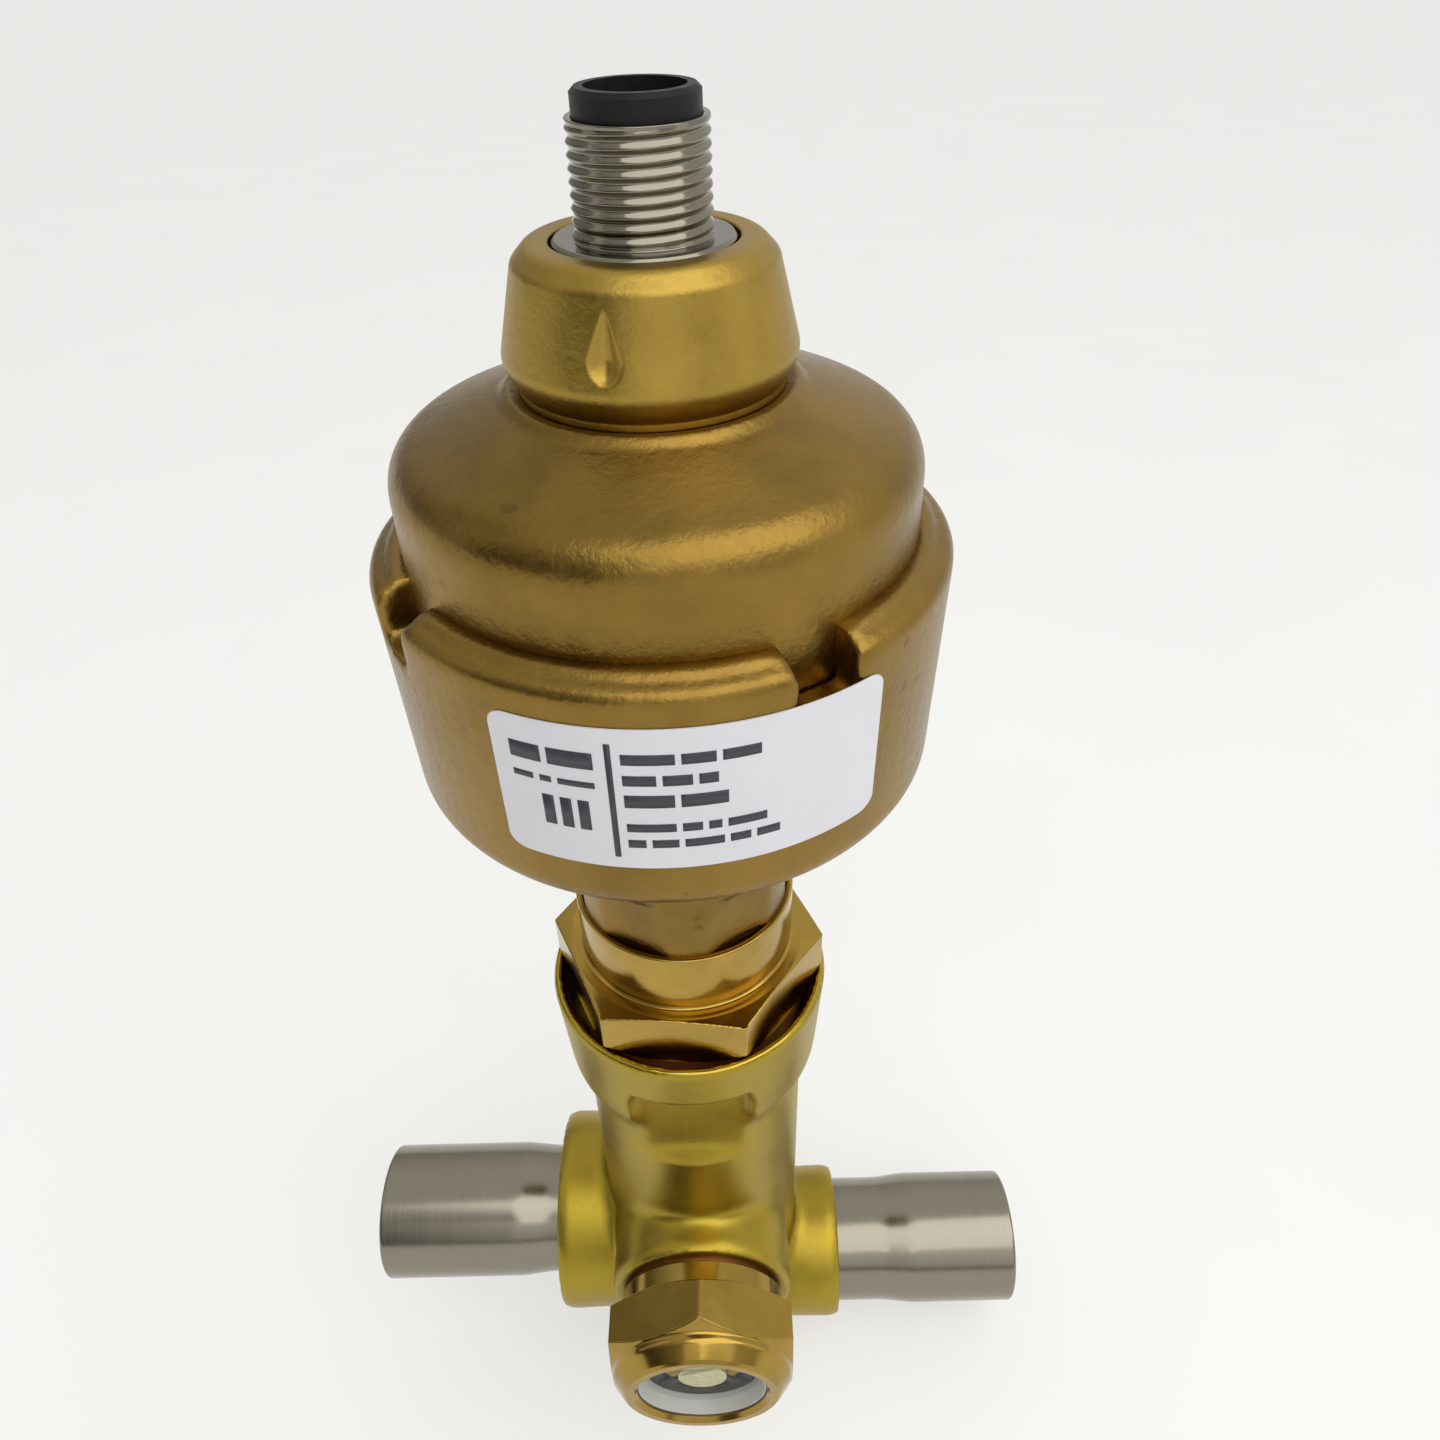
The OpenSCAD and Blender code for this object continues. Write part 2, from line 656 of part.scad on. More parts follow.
// Sleeve that guides the piston; its inner key stops the piston turning
module piston_guide() {
    bore_r = piston_r + run_gap;
    color(brass_turned) difference() {
        union() {
            difference() {
                union() {
                    drum(chamber_r, guide_z, guide_ledge_z);
                    drum(bonnet_thread_r - edge, guide_ledge_z, guide_top_z);
                }
                drum(bore_r, guide_z - over, guide_top_z + over);
            }
            translate([piston_r - key_depth, -key_w / 2, key_z]) cube([key_depth + 1, key_w, key_h]);
        }
        drum(seal_r, seal_z, seal_z + seal_t);
    }
}

module piston_seal() { color(seal_dark) ring(seal_r, piston_r + run_gap, seal_z, seal_z + seal_t); }

// Balanced piston with a tapered plug, hollow for the lead screw
module piston() {
    color(steel) difference() {
        union() {
            drum(piston_r, seat_z, piston_top_z);
            cone(plug_tip_r, orifice_r - run_gap, seat_z - plug_h, seat_z);
        }
        drum(balance_r, seat_z - plug_h - over, piston_top_z);
        drum(hollow_r, hollow_z, piston_top_z + over);
        drum(drive_nut_r, drive_nut_z, piston_top_z + over);
        translate([piston_r - key_depth - key_gap, -key_w / 2 - key_gap, groove_z])
            cube([key_depth + 1, key_w + 2 * key_gap, piston_top_z]);
    }
}

module drive_nut() { color(brass_turned) ring(drive_nut_r, screw_r + run_gap, drive_nut_z, piston_top_z); }

module spindle() {
    color(steel) union() {
        drum(screw_r, screw_tip_z, guide_top_z);
        drum(shaft_r, guide_top_z, spindle_top_z);
        drum(thrust_r, bush_end_z + run_gap, bush_end_z + run_gap + thrust_t);
    }
}

module spindle_gear() {
    color(brass_turned) difference() {
        translate([0, 0, spindle_gear_z]) rotate([0, 0, 90])
            spur_gear(wheel_teeth, wheel_addendum, wheel_w);
        drum(shaft_r, spindle_gear_z - over, spindle_top_z);
    }
}

module spindle_bush() { color(copper) ring(bush_r, shaft_r + run_gap, guide_top_z + 1, bush_end_z); }

module spindle_seal() {
    color(seal_dark) ring(bush_r, shaft_r + run_gap, spindle_seal_z, bush_pocket_top_z);
}

module spindle_bearing() {
    color(steel) ring(bearing_r, shaft_r + run_gap, floor_z - bearing_h, floor_z);
}

module bonnet_nut() {
    groove_r = collar_r - collar_groove;
    color(brass_turned) difference() {
        union() {
            rotate([0, 0, nut_turn]) chamfered_hex(nut_af, nut_z, collar_z, foot_chamfer_slope, top_chamfer_slope);
            rotate_extrude() polygon([
                [0, nut_z + over], [groove_r, nut_z + over],
                [groove_r, collar_z + groove_h], [collar_r, collar_z + groove_h + collar_groove],
                [collar_r, collar_top_z - edge], [collar_r - edge, collar_top_z], [0, collar_top_z]]);
            drum(bonnet_thread_r, bonnet_end_z, nut_z + over);
        }
        drum(collar_recess_r, neck_z, collar_top_z + over);
        drum(neck_thread_r, neck_end_z, collar_top_z);
        drum(bush_r, guide_top_z + 1, collar_top_z);
        drum(neck_bore_r, bonnet_end_z - over, collar_top_z);
    }
}

module body_gasket() {
    color(seal_red) ring(nut_af / 2 - edge / 2, bonnet_thread_r, cup_floor_z, nut_z);
}

// Profile of the lower housing's drafted wall with its rounded foot and rim
module lower_wall_profile(grow = 0) {
    corner = lower_corner_r;
    outer_r = rim_r + grow;
    polygon([[0, foot_z], [foot_r - corner, foot_z], [foot_r + grow, foot_z + corner],
             [outer_r, lower_rim_z - rim_edge_r], [outer_r - rim_edge_r, lower_rim_z], [0, lower_rim_z]]);
    translate([foot_r + grow - corner, foot_z + corner]) circle(r = corner);
    translate([outer_r - rim_edge_r, lower_rim_z - rim_edge_r]) circle(r = rim_edge_r);
}

// Cast cup with a notched rim, and below it the neck with six flats
module lower_housing() {
    color(brass_cast) difference() {
        union() {
            rotate_extrude() {
                lower_wall_profile();
                translate([rim_bore_r + bead_r, lower_rim_z]) circle(r = bead_r);
                translate([rim_bore_r, lower_rim_z - over]) square([bead_r, over + bead_lip]);
            }
            intersection() {
                translate([0, 0, neck_z]) rotate([0, 0, 30 + neck_turn])
                    cylinder(r = neck_af / sqrt(3), h = foot_z - neck_z + over, $fn = 6);
                drum(neck_r, neck_z, foot_z + over);
            }
            drum(neck_r, foot_z - neck_root_h, foot_z + over);
            drum(neck_thread_r, neck_end_z, neck_z + over);
        }
        drum(neck_bore_r, neck_end_z - over, floor_z);
        drum(bearing_r, floor_z - bearing_h, floor_z + over);
        drum(lower_inner_r, floor_z, lower_rim_z);
        drum(rim_bore_r, seat_level_z, lower_rim_z + over);
        round_about(notch_count, notch_turn)
            translate([-notch_w / 2, -rim_r - over, lower_rim_z - notch_depth])
            cube([notch_w, rim_r - rim_bore_r + 2 * over, notch_depth + bead_r + over]);
        translate([0, gear_span, 0]) drum(idler_pin_r, floor_z - pin_seat, floor_z + over);
    }
}

// Where the roof's slope meets the shoulder's arc
roof_seat_r = gland_foot_d / 2 + 1;
shoulder_c_r = upper_r - shoulder_r;
roof_tangent_r = shoulder_c_r + shoulder_r * sin(roof_slope);
roof_tangent_z = roof_z - tan(roof_slope) * (roof_tangent_r - roof_seat_r);
shoulder_c_z = roof_tangent_z - shoulder_r * cos(roof_slope);

// Cast dome: a sloped roof with a ring round the gland, a round shoulder and a skirt that seats in the rim
module upper_housing() {
    inner_roof_z = roof_z - upper_wall;
    color(brass_cast) difference() {
        rotate_extrude() {
            polygon([[0, seat_level_z], [upper_r, seat_level_z], [upper_r, shoulder_c_z],
                     [shoulder_c_r, shoulder_c_z], [roof_tangent_r, roof_tangent_z],
                     [roof_seat_r, roof_z], [0, roof_z]]);
            translate([shoulder_c_r, shoulder_c_z]) circle(r = shoulder_r);
            translate([roof_seat_r, roof_z - bead_r / 2]) circle(r = bead_r);
            translate([0, roof_z - over]) square([boss_r, boss_top_z - roof_z + over]);
        }
        rotate_extrude() polygon([
            [0, seat_level_z - over], [upper_bore_r, seat_level_z - over],
            [upper_bore_r, shoulder_c_z + shoulder_r / 3],
            [roof_tangent_r - upper_wall, roof_tangent_z - upper_wall],
            [roof_seat_r, inner_roof_z], [0, inner_roof_z]]);
        drum(boss_bore_r, seat_level_z, boss_top_z + over);
        translate([0, 0, seat_level_z]) rotate_extrude() translate([seal_ring_r, 0])
            circle(r = seal_section_r);
    }
}

module housing_seal() {
    color(seal_dark) translate([0, 0, seat_level_z]) rotate_extrude() intersection() {
        translate([seal_ring_r, 0]) circle(r = seal_section_r);
        square([rim_r, seal_section_r]);
    }
}

// A thin printed sheet that lies on the lower housing's wall
module label() {
    bottom_z = foot_z + label_lift;
    half_w = label_w / 2 - label_corner_r;
    color([0.90, 0.90, 0.93]) intersection() {
        difference() {
            rotate_extrude() lower_wall_profile(label_t + touch);
            rotate_extrude() lower_wall_profile(touch);
        }
        rotate([90, 0, label_turn]) linear_extrude(height = lower_rim_d) union() {
            translate([-half_w, bottom_z]) square([2 * half_w, label_h]);
            translate([-label_w / 2, bottom_z + label_corner_r])
                square([label_w, label_h - 2 * label_corner_r]);
            for (x = [-half_w, half_w], y = [label_corner_r, label_h - label_corner_r])
                translate([x, bottom_z + y]) circle(r = label_corner_r);
        }
    }
}

// Compound gear on the idler pin: a pinion below and a wheel above
module idler_gear() {
    color(brass_turned) translate([0, gear_span, 0]) difference() {
        union() {
            translate([0, 0, floor_z + idler_lift]) rotate([0, 0, -90 + 180 / pinion_teeth])
                spur_gear(pinion_teeth, pinion_addendum, idler_wheel_z - floor_z - idler_lift + touch);
            translate([0, 0, idler_wheel_z]) rotate([0, 0, -90])
                spur_gear(wheel_teeth, wheel_addendum, wheel_w);
        }
        drum(idler_pin_r + run_gap, floor_z, idler_top_z + over);
    }
}

module idler_pin() {
    color(steel) translate([0, gear_span, 0]) drum(idler_pin_r, floor_z - pin_seat, stator_z);
}

module motor_plate() {
    color(steel) difference() {
        drum(plate_r, plate_z, stator_z);
        drum(bearing_bush_r, plate_z - over, stator_z + over);
        translate([0, gear_span, 0]) drum(idler_pin_r, plate_z - over, stator_z + over);
    }
}

module plate_pillars() {
    color(steel) round_about(pillar_count, -90)
        translate([pillar_circle_r, 0, 0]) drum(pillar_r, floor_z, plate_z);
}

module motor_pinion() {
    color(brass_turned) difference() {
        translate([0, 0, motor_pinion_z]) rotate([0, 0, 90 + 180 / pinion_teeth])
            spur_gear(pinion_teeth, pinion_addendum, motor_pinion_h);
        drum(rotor_shaft_r, motor_pinion_z - over, plate_z);
    }
}

module rotor_shaft() { color(steel) drum(rotor_shaft_r, motor_pinion_z, end_plate_top_z + shaft_proud); }

module rotor_magnet() {
    color([0.22, 0.22, 0.24]) ring(rotor_r, rotor_shaft_r, stator_z + rotor_gap, end_plate_z - rotor_gap);
}

// One half of the stator: a sheet shell round its coil, with a row of pole teeth at the bore
module stator_half(z) {
    tooth_w = 2 * PI * stator_bore_r / pole_count / 2;
    top = z + stator_half_h;
    color(steel) {
        difference() {
            drum(stator_r, z, top);
            drum(stator_bore_r + stator_sheet, z - over, top + over);
            ring(stator_r - stator_sheet, stator_bore_r, z + stator_sheet, top - stator_sheet);
        }
        intersection() {
            ring(stator_bore_r + stator_sheet, stator_bore_r, z, top);
            round_about(pole_count) translate([0, -tooth_w / 2, z]) cube([stator_r, tooth_w, stator_half_h]);
        }
    }
}

module stator_lower() { stator_half(stator_z); }
module stator_upper() { stator_half(stator_z + stator_half_h); }

module coil_pair() {
    color(copper) for (z = [stator_z, stator_z + stator_half_h])
        ring(stator_r - stator_sheet, stator_bore_r + stator_sheet,
             z + stator_sheet, z + stator_half_h - stator_sheet);
}

module end_plate() {
    color(steel) difference() {
        drum(stator_r, end_plate_z, end_plate_top_z);
        drum(bearing_bush_r, end_plate_z - over, end_plate_top_z + over);
    }
}

module lower_bearing() {
    color(copper) ring(bearing_bush_r, rotor_shaft_r + run_gap, plate_z, stator_z);
}

module upper_bearing() {
    color(copper) ring(bearing_bush_r, rotor_shaft_r + run_gap, end_plate_z, end_plate_top_z);
}

module lead_wires() {
    color([0.75, 0.15, 0.12]) round_about(pin_count) translate([pin_circle_r, 0, 0])
        drum(wire_r, end_plate_top_z, pin_tail_z);
}

// Satin cap with a belly, a rounded top edge and teardrop dimples
module gland_cap() {
    belly_z = gland_z + gland_belly_h;
    belly_r = gland_d / 2;
    top_r = gland_top_d / 2;
    edge_z = gland_top_z - gland_edge_r;
    lean = atan((belly_r - top_r) / (edge_z - belly_z));
    dimple_z = belly_z + dimple_r + dimple_lift;
    color(brass_satin) difference() {
        rotate_extrude() {
            polygon([[0, gland_z], [gland_foot_d / 2, gland_z], [gland_foot_d / 2, gland_z + gland_foot_h],
                     [belly_r, belly_z], [top_r, edge_z], [top_r - gland_edge_r, gland_top_z],
                     [0, gland_top_z]]);
            translate([top_r - gland_edge_r, edge_z]) circle(r = gland_edge_r);
        }
        drum(gland_hole_d / 2, gland_z, gland_top_z + over);
        drum(boss_r, gland_z - over, gland_top_z - gland_lid_t);
        round_about(dimple_count, dimple_turn)
        translate([0, -belly_r - dimple_r / 3, dimple_z]) rotate([-lean, 0, 0]) {
            sphere(r = dimple_r);
            cylinder(r1 = dimple_r, r2 = dimple_r * dimple_tail, h = dimple_l);
        }
    }
}

// Threaded shell of the connector, clamped by its lower flange under the gland cap
module connector_shell() {
    color(steel) difference() {
        rotate_extrude() polygon([
            [0, insert_z + connector_seal_t], [plug_r, insert_z + connector_seal_t], [plug_r, shell_z],
            [shell_flange_r, shell_z], [shell_flange_r, shell_z + shell_flange_t],
            [flange_neck_r, shell_z + shell_flange_t],
            [flange_neck_r, thread_z - connector_flange_t], [connector_flange_r, thread_z - edge],
            [connector_flange_r - edge, thread_z], [connector_r, thread_z], [connector_r, shell_top_z],
            [0, shell_top_z]]);
        drum(insert_r, insert_z - over, insert_top_z);
    }
}

// Plastic insert with a deep socket and a coding rib
module connector_insert() {
    rib_w = 0.8;
    rib_depth = 0.5;
    rib_turn = -22.5;
    bore_r = insert_bore_d / 2;
    color(dark_plastic) difference() {
        union() {
            difference() {
                rotate_extrude()
                    polygon([[0, insert_z], [insert_r, insert_z], [insert_r, insert_top_z - edge],
                             [insert_r - edge, insert_top_z], [0, insert_top_z]]);
                drum(bore_r, socket_floor_z, insert_top_z + over);
            }
            rotate([0, 0, rib_turn]) translate([bore_r - rib_depth, -rib_w / 2, socket_floor_z])
                cube([rib_depth + edge, rib_w, insert_depth - 2]);
        }
        round_about(pin_count) translate([pin_circle_r, 0, 0])
            drum(pin_d / 2, insert_z - over, socket_floor_z + over);
    }
}

module contact_pins() {
    tip_h = 0.5;
    color([0.85, 0.70, 0.35]) round_about(pin_count) translate([pin_circle_r, 0, 0]) rotate_extrude()
        polygon([[0, pin_tail_z], [pin_d / 2, pin_tail_z], [pin_d / 2, pin_tip_z - tip_h],
                 [pin_d / 4, pin_tip_z], [0, pin_tip_z]]);
}

module connector_seal() {
    color(seal_dark) ring(plug_r, insert_r, insert_z, insert_z + connector_seal_t);
}

valve_body();
inlet_stub();
outlet_stub();
sight_glass_nut();
sight_glass();
sight_ring();
indicator_disc();
sight_gasket();
orifice_ring();
piston_guide();
piston_seal();
piston();
drive_nut();
spindle();
spindle_gear();
spindle_bush();
spindle_seal();
spindle_bearing();
bonnet_nut();
body_gasket();
lower_housing();
upper_housing();
housing_seal();
label();
idler_gear();
idler_pin();
motor_plate();
plate_pillars();
motor_pinion();
rotor_shaft();
rotor_magnet();
stator_lower();
stator_upper();
coil_pair();
end_plate();
lower_bearing();
upper_bearing();
lead_wires();
gland_cap();
connector_shell();
connector_insert();
contact_pins();
connector_seal();
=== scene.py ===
"""Looks of an electronic expansion valve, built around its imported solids."""

import json
import math

import bmesh
import bpy
import numpy as np
from bpy.props import FloatProperty, FloatVectorProperty, IntProperty, PointerProperty
from mathutils import Matrix, Vector


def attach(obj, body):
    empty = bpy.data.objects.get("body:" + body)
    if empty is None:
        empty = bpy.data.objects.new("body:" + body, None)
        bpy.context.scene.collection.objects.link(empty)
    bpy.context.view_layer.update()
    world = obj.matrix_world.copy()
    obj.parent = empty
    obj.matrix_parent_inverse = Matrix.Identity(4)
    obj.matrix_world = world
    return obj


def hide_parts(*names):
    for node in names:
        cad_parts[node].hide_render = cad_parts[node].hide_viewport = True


bl_info = {
    "name": "Expansion Valve Looks",
    "version": (1, 0, 0),
    "blender": (4, 5, 0),
    "location": "3D View > Sidebar > Valve",
    "description": "Builds the finished pieces of an electronic expansion valve on its solids",
    "category": "Object",
}

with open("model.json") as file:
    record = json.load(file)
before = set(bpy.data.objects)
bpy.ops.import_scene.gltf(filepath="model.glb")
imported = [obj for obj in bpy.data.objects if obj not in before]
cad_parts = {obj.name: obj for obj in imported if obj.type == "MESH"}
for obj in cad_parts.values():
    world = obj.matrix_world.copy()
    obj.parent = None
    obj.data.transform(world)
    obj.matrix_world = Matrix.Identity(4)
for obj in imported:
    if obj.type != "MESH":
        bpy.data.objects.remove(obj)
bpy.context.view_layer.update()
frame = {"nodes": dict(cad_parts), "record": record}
NODES = frame["nodes"]
MM = 0.001
FIXED_BODY = "valve"
TURN = 2 * math.pi

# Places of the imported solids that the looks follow, in millimetres and degrees
INLET_Z, OUTLET_Z, SIGHT_Z = 29, 15, 41
BODY_LEVELS = (0, 76.4, 81.4, 96)       # foot, shoulder's foot, shoulder's top, cup's rim
BODY_RADII = (15.9, 15.9, 18.0, 19.0)
SIGHT_AF, SIGHT_TURN = 27.0, 30         # hexagon across its flats, and its turn
BONNET_AF, BONNET_TURN = 32.0, -6
NOTCH_TURN = 31
LABEL_Z, LABEL_TURN = 152.8, 6.5
WALL_LEVELS, WALL_RADII = (140.9, 163.0), (28.7, 29.3)   # drafted wall that carries the label


# Sizes and colours that a user would change

def length(name, about, default):
    """A length in millimetres."""
    return FloatProperty(name=name, description=about, default=default, min=0.0)


def tint(name, about, default):
    """A linear colour."""
    return FloatVectorProperty(name=name, description=about, default=default, size=3,
                               subtype="COLOR", min=0.0, max=1.0)


class ValveSizes(bpy.types.PropertyGroup):
    """Sizes of the finished pieces, in millimetres."""
    cast_grain: length("Casting grain", "Cell size of the cast pieces' mesh", 0.42)
    cast_rounds: IntProperty(name="Casting softness", description="Smoothing passes on cast edges",
                             default=2, min=0)
    forge_grain: length("Forging grain", "Cell size of the forged body's mesh", 0.5)
    fillet_rounds: IntProperty(name="Fillet softness", description="Smoothing passes in the body's fillets",
                               default=40, min=0)
    edge_round: length("Edge rounding", "Radius of the broken edges on turned pieces", 0.25)
    thread_pitch: length("Thread pitch", "Pitch of the connector's thread", 1.0)
    thread_depth: length("Thread depth", "Depth of the connector's thread", 0.29)
    print_lift: length("Print lift", "Height of the print above the label", 0.02)


class ValveColours(bpy.types.PropertyGroup):
    """Colours of the finishes."""
    cast: tint("Cast brass", "Sand cast housings", (0.262, 0.160, 0.035))
    satin: tint("Satin brass", "Gland cap", (0.40, 0.265, 0.052))
    turned: tint("Turned brass", "Nuts", (0.43, 0.278, 0.058))
    forged: tint("Forged brass", "Valve body", (0.395, 0.283, 0.036))
    steel: tint("Stainless steel", "Stubs and connector shell", (0.275, 0.253, 0.20))
    plastic: tint("Black plastic", "Connector insert", (0.012, 0.012, 0.013))
    label: tint("Label", "Label film", (0.72, 0.715, 0.76))
    ink: tint("Ink", "Print on the label", (0.035, 0.035, 0.045))


class StudioSettings(bpy.types.PropertyGroup):
    """Stage and light."""
    floor: tint("Floor", "Colour of the floor", (0.90, 0.90, 0.88))
    whiteness: FloatProperty(name="Floor whiteness", description="Share of plain white that the camera sees",
                             default=0.55, min=0.0, max=1.0)
    world: FloatProperty(name="Room light", description="Strength of the light from the bright side",
                         default=0.8, min=0.0)
    dim: FloatProperty(name="Dim side", description="Strength of the light from the dim side", default=0.07, min=0.0)
    key: FloatProperty(name="Key light", description="Power of the large lamp", default=2.3, min=0.0)
    side: FloatProperty(name="Side light", description="Power of the side lamps", default=0.14, min=0.0)
    front: FloatProperty(name="Front light", description="Power of the front lamp", default=0.6, min=0.0)


# Finishes

class Finish:
    """A material's nodes, with a short call for each kind that is used here."""

    def __init__(self, name, **sockets):
        self.material = bpy.data.materials.new(name)
        self.material.use_nodes = True
        self.tree = self.material.node_tree
        self.shader = self.tree.nodes["Principled BSDF"]
        self.feed(self.shader, {key.replace("_", " "): value for key, value in sockets.items()})
        self.place = self.add("TexCoord").outputs["Object"]

    def feed(self, node, sockets):
        for key, value in sockets.items():
            socket = node.inputs[key]
            if isinstance(value, bpy.types.NodeSocket):
                self.tree.links.new(value, socket)
            elif hasattr(value, "__len__") and socket.type == "RGBA" and len(value) == 3:
                socket.default_value = (*value, 1.0)
            else:
                socket.default_value = value

    def add(self, kind, sockets=None, **settings):
        node = self.tree.nodes.new("ShaderNode" + kind)
        for key, value in settings.items():
            setattr(node, key, value)
        self.feed(node, sockets or {})
        return node

    def noise(self, scale, detail=3.0, rough=0.55, at=None):
        return self.add("TexNoise", {"Vector": at or self.place, "Scale": scale, "Detail": detail,
                                     "Roughness": rough}).outputs[0]

    def spread(self, value, low, high, start=0.3, end=0.7):
        return self.add("MapRange", {"Value": value, "From Min": start, "From Max": end,
                                     "To Min": low, "To Max": high}).outputs[0]

    def math(self, operation, a, b):
        return self.add("Math", {0: a, 1: b}, operation=operation).outputs[0]

    def ramp(self, value, *stops):
        node = self.add("ValToRGB", {"Fac": value})
        points = node.color_ramp.elements
        while len(points) < len(stops):
            points.new(0.5)
        for point, (where, colour) in zip(points, stops):
            point.position = where
            point.color = (*colour, 1.0)
        return node.outputs[0]

    def mix(self, share, a, b):
        return self.add("Mix", {0: share, 6: (*a, 1.0) if isinstance(a, tuple) else a,
                                7: (*b, 1.0) if isinstance(b, tuple) else b}, data_type="RGBA").outputs[2]

    def bump(self, height, depth_mm, strength=1.0, normal=None):
        sockets = {"Height": height, "Distance": depth_mm * MM, "Strength": strength}
        if normal is not None:
            sockets["Normal"] = normal
        return self.add("Bump", sockets).outputs[0]

    def lathe_lines(self, axis, centre=(0.0, 0.0, 0.0)):
        """Coordinates that change along a piece's axis and across its radius, but not round it."""
        local = self.add("VectorMath", {0: self.place, 1: centre}, operation="SUBTRACT").outputs[0]
        split = self.add("SeparateXYZ", {0: local}).outputs
        around = [split[i] for i in range(3) if i != axis]
        flat = self.add("CombineXYZ", {0: around[0], 1: around[1]}).outputs[0]
        radius = self.add("VectorMath", {0: flat}, operation="LENGTH").outputs["Value"]
        return self.add("CombineXYZ", {0: split[axis], 1: radius}).outputs[0]

    def done(self, colour=None, roughness=None, normal=None):
        for key, value in (("Base Color", colour), ("Roughness", roughness), ("Normal", normal)):
            if value is not None:
                self.feed(self.shader, {key: value})
        return self.material


def shade(colour, factor):
    """A colour made darker or lighter."""
    return tuple(min(1.0, channel * factor) for channel in colour)


def cast_brass(name, colour):
    """Sand cast brass: brown patches, fine sand grain and a few pits."""
    f = Finish(name, Metallic=1.0)
    patches = f.noise(70.0, 4.0, 0.6)
    grain = f.noise(1500.0, 4.0, 0.6)
    tone = f.ramp(patches, (0.3, shade(colour, 0.72)), (0.52, colour), (0.75, shade(colour, 1.22)))
    pits = f.spread(f.noise(240.0, 2.0, 0.5), 1.0, 0.0, 0.70, 0.78)
    tone = f.mix(f.spread(pits, 0.6, 0.0, 0.0, 1.0), tone, shade(colour, 0.35))
    rough = f.math("ADD", f.spread(patches, 0.26, 0.35), f.spread(grain, -0.03, 0.05))
    surface = f.bump(grain, 0.07, 0.75)
    surface = f.bump(f.noise(420.0, 4.0, 0.6), 0.16, 0.6, surface)
    surface = f.bump(pits, 0.10, 0.7, surface)
    return f.done(tone, rough, surface)


def satin_brass(name, colour):
    """Satin brass with a fine blasted grain."""
    f = Finish(name, Metallic=1.0)
    patches = f.noise(110.0, 3.0)
    grain = f.noise(1700.0, 5.0, 0.65)
    tone = f.ramp(patches, (0.3, shade(colour, 0.86)), (0.7, shade(colour, 1.12)))
    rough = f.math("ADD", f.spread(patches, 0.32, 0.40), f.spread(grain, -0.03, 0.05))
    surface = f.bump(grain, 0.06, 0.65)
    surface = f.bump(f.noise(800.0, 4.0, 0.6), 0.07, 0.5, surface)
    return f.done(tone, rough, surface)


def turned_brass(name, colour, axis, centre=(0.0, 0.0, 0.0)):
    """Bright brass with the fine rings that a lathe leaves."""
    f = Finish(name, Metallic=1.0)
    lines = f.noise(4200.0, 2.0, 0.5, f.lathe_lines(axis, centre))
    patches = f.noise(160.0, 3.0)
    tone = f.ramp(patches, (0.32, shade(colour, 0.86)), (0.68, shade(colour, 1.08)))
    rough = f.math("ADD", f.spread(patches, 0.12, 0.19), f.spread(lines, -0.03, 0.04))
    surface = f.bump(lines, 0.012, 0.35)
    surface = f.bump(f.noise(240.0, 2.0), 0.05, 0.25, surface)
    return f.done(tone, rough, surface)


def forged_brass(name, colour):
    """Forged and pickled brass: a greenish satin skin with soft patches."""
    f = Finish(name, Metallic=1.0)
    patches = f.noise(75.0, 4.0, 0.55)
    grain = f.noise(1200.0, 4.0, 0.6)
    tone = f.ramp(patches, (0.28, shade(colour, 0.78)), (0.5, colour),
                  (0.74, (colour[0] * 1.1, colour[1] * 1.14, colour[2] * 0.95)))
    rough = f.math("ADD", f.spread(patches, 0.33, 0.43), f.spread(grain, -0.02, 0.04))
    surface = f.bump(grain, 0.02, 0.4)
    surface = f.bump(f.noise(210.0, 3.0), 0.09, 0.35, surface)
    return f.done(tone, rough, surface)


def drawn_steel(name, colour, axis, centre=(0.0, 0.0, 0.0), rough_low=0.18):
    """Stainless steel with fine rings round its axis."""
    f = Finish(name, Metallic=1.0)
    lines = f.noise(3600.0, 3.0, 0.6, f.lathe_lines(axis, centre))
    patches = f.noise(45.0, 2.0)
    tone = f.ramp(lines, (0.3, shade(colour, 0.95)), (0.7, shade(colour, 1.03)))
    rough = f.math("ADD", f.spread(patches, rough_low, rough_low + 0.05), f.spread(lines, -0.03, 0.04))
    surface = f.bump(lines, 0.006, 0.22)
    return f.done(tone, rough, surface)


def plain_metal(name, colour, roughness, grain_scale):
    """Inner metal pieces: even colour with a fine machined grain."""
    f = Finish(name, Metallic=1.0)
    grain = f.noise(grain_scale, 3.0)
    tone = f.ramp(grain, (0.3, shade(colour, 0.85)), (0.7, shade(colour, 1.1)))
    return f.done(tone, f.spread(grain, roughness - 0.05, roughness + 0.07), f.bump(grain, 0.01, 0.4))


def moulded(name, colour, roughness, grain_scale=900.0, specular=0.5):
    """Plastic, rubber, paper or fibre with a fine moulded grain."""
    f = Finish(name, Metallic=0.0, Specular_IOR_Level=specular)
    grain = f.noise(grain_scale, 3.0)
    tone = f.ramp(grain, (0.3, shade(colour, 0.85)), (0.7, shade(colour, 1.15)))
    return f.done(tone, f.spread(grain, roughness - 0.06, roughness + 0.08), f.bump(grain, 0.015, 0.4))


def label_film(name, colour):
    """White film, almost even."""
    f = Finish(name, Metallic=0.0)
    wear = f.noise(160.0, 3.0)
    tone = f.ramp(wear, (0.3, shade(colour, 0.97)), (0.7, shade(colour, 1.03)))
    return f.done(tone, f.spread(wear, 0.36, 0.44), f.bump(wear, 0.01, 0.2))


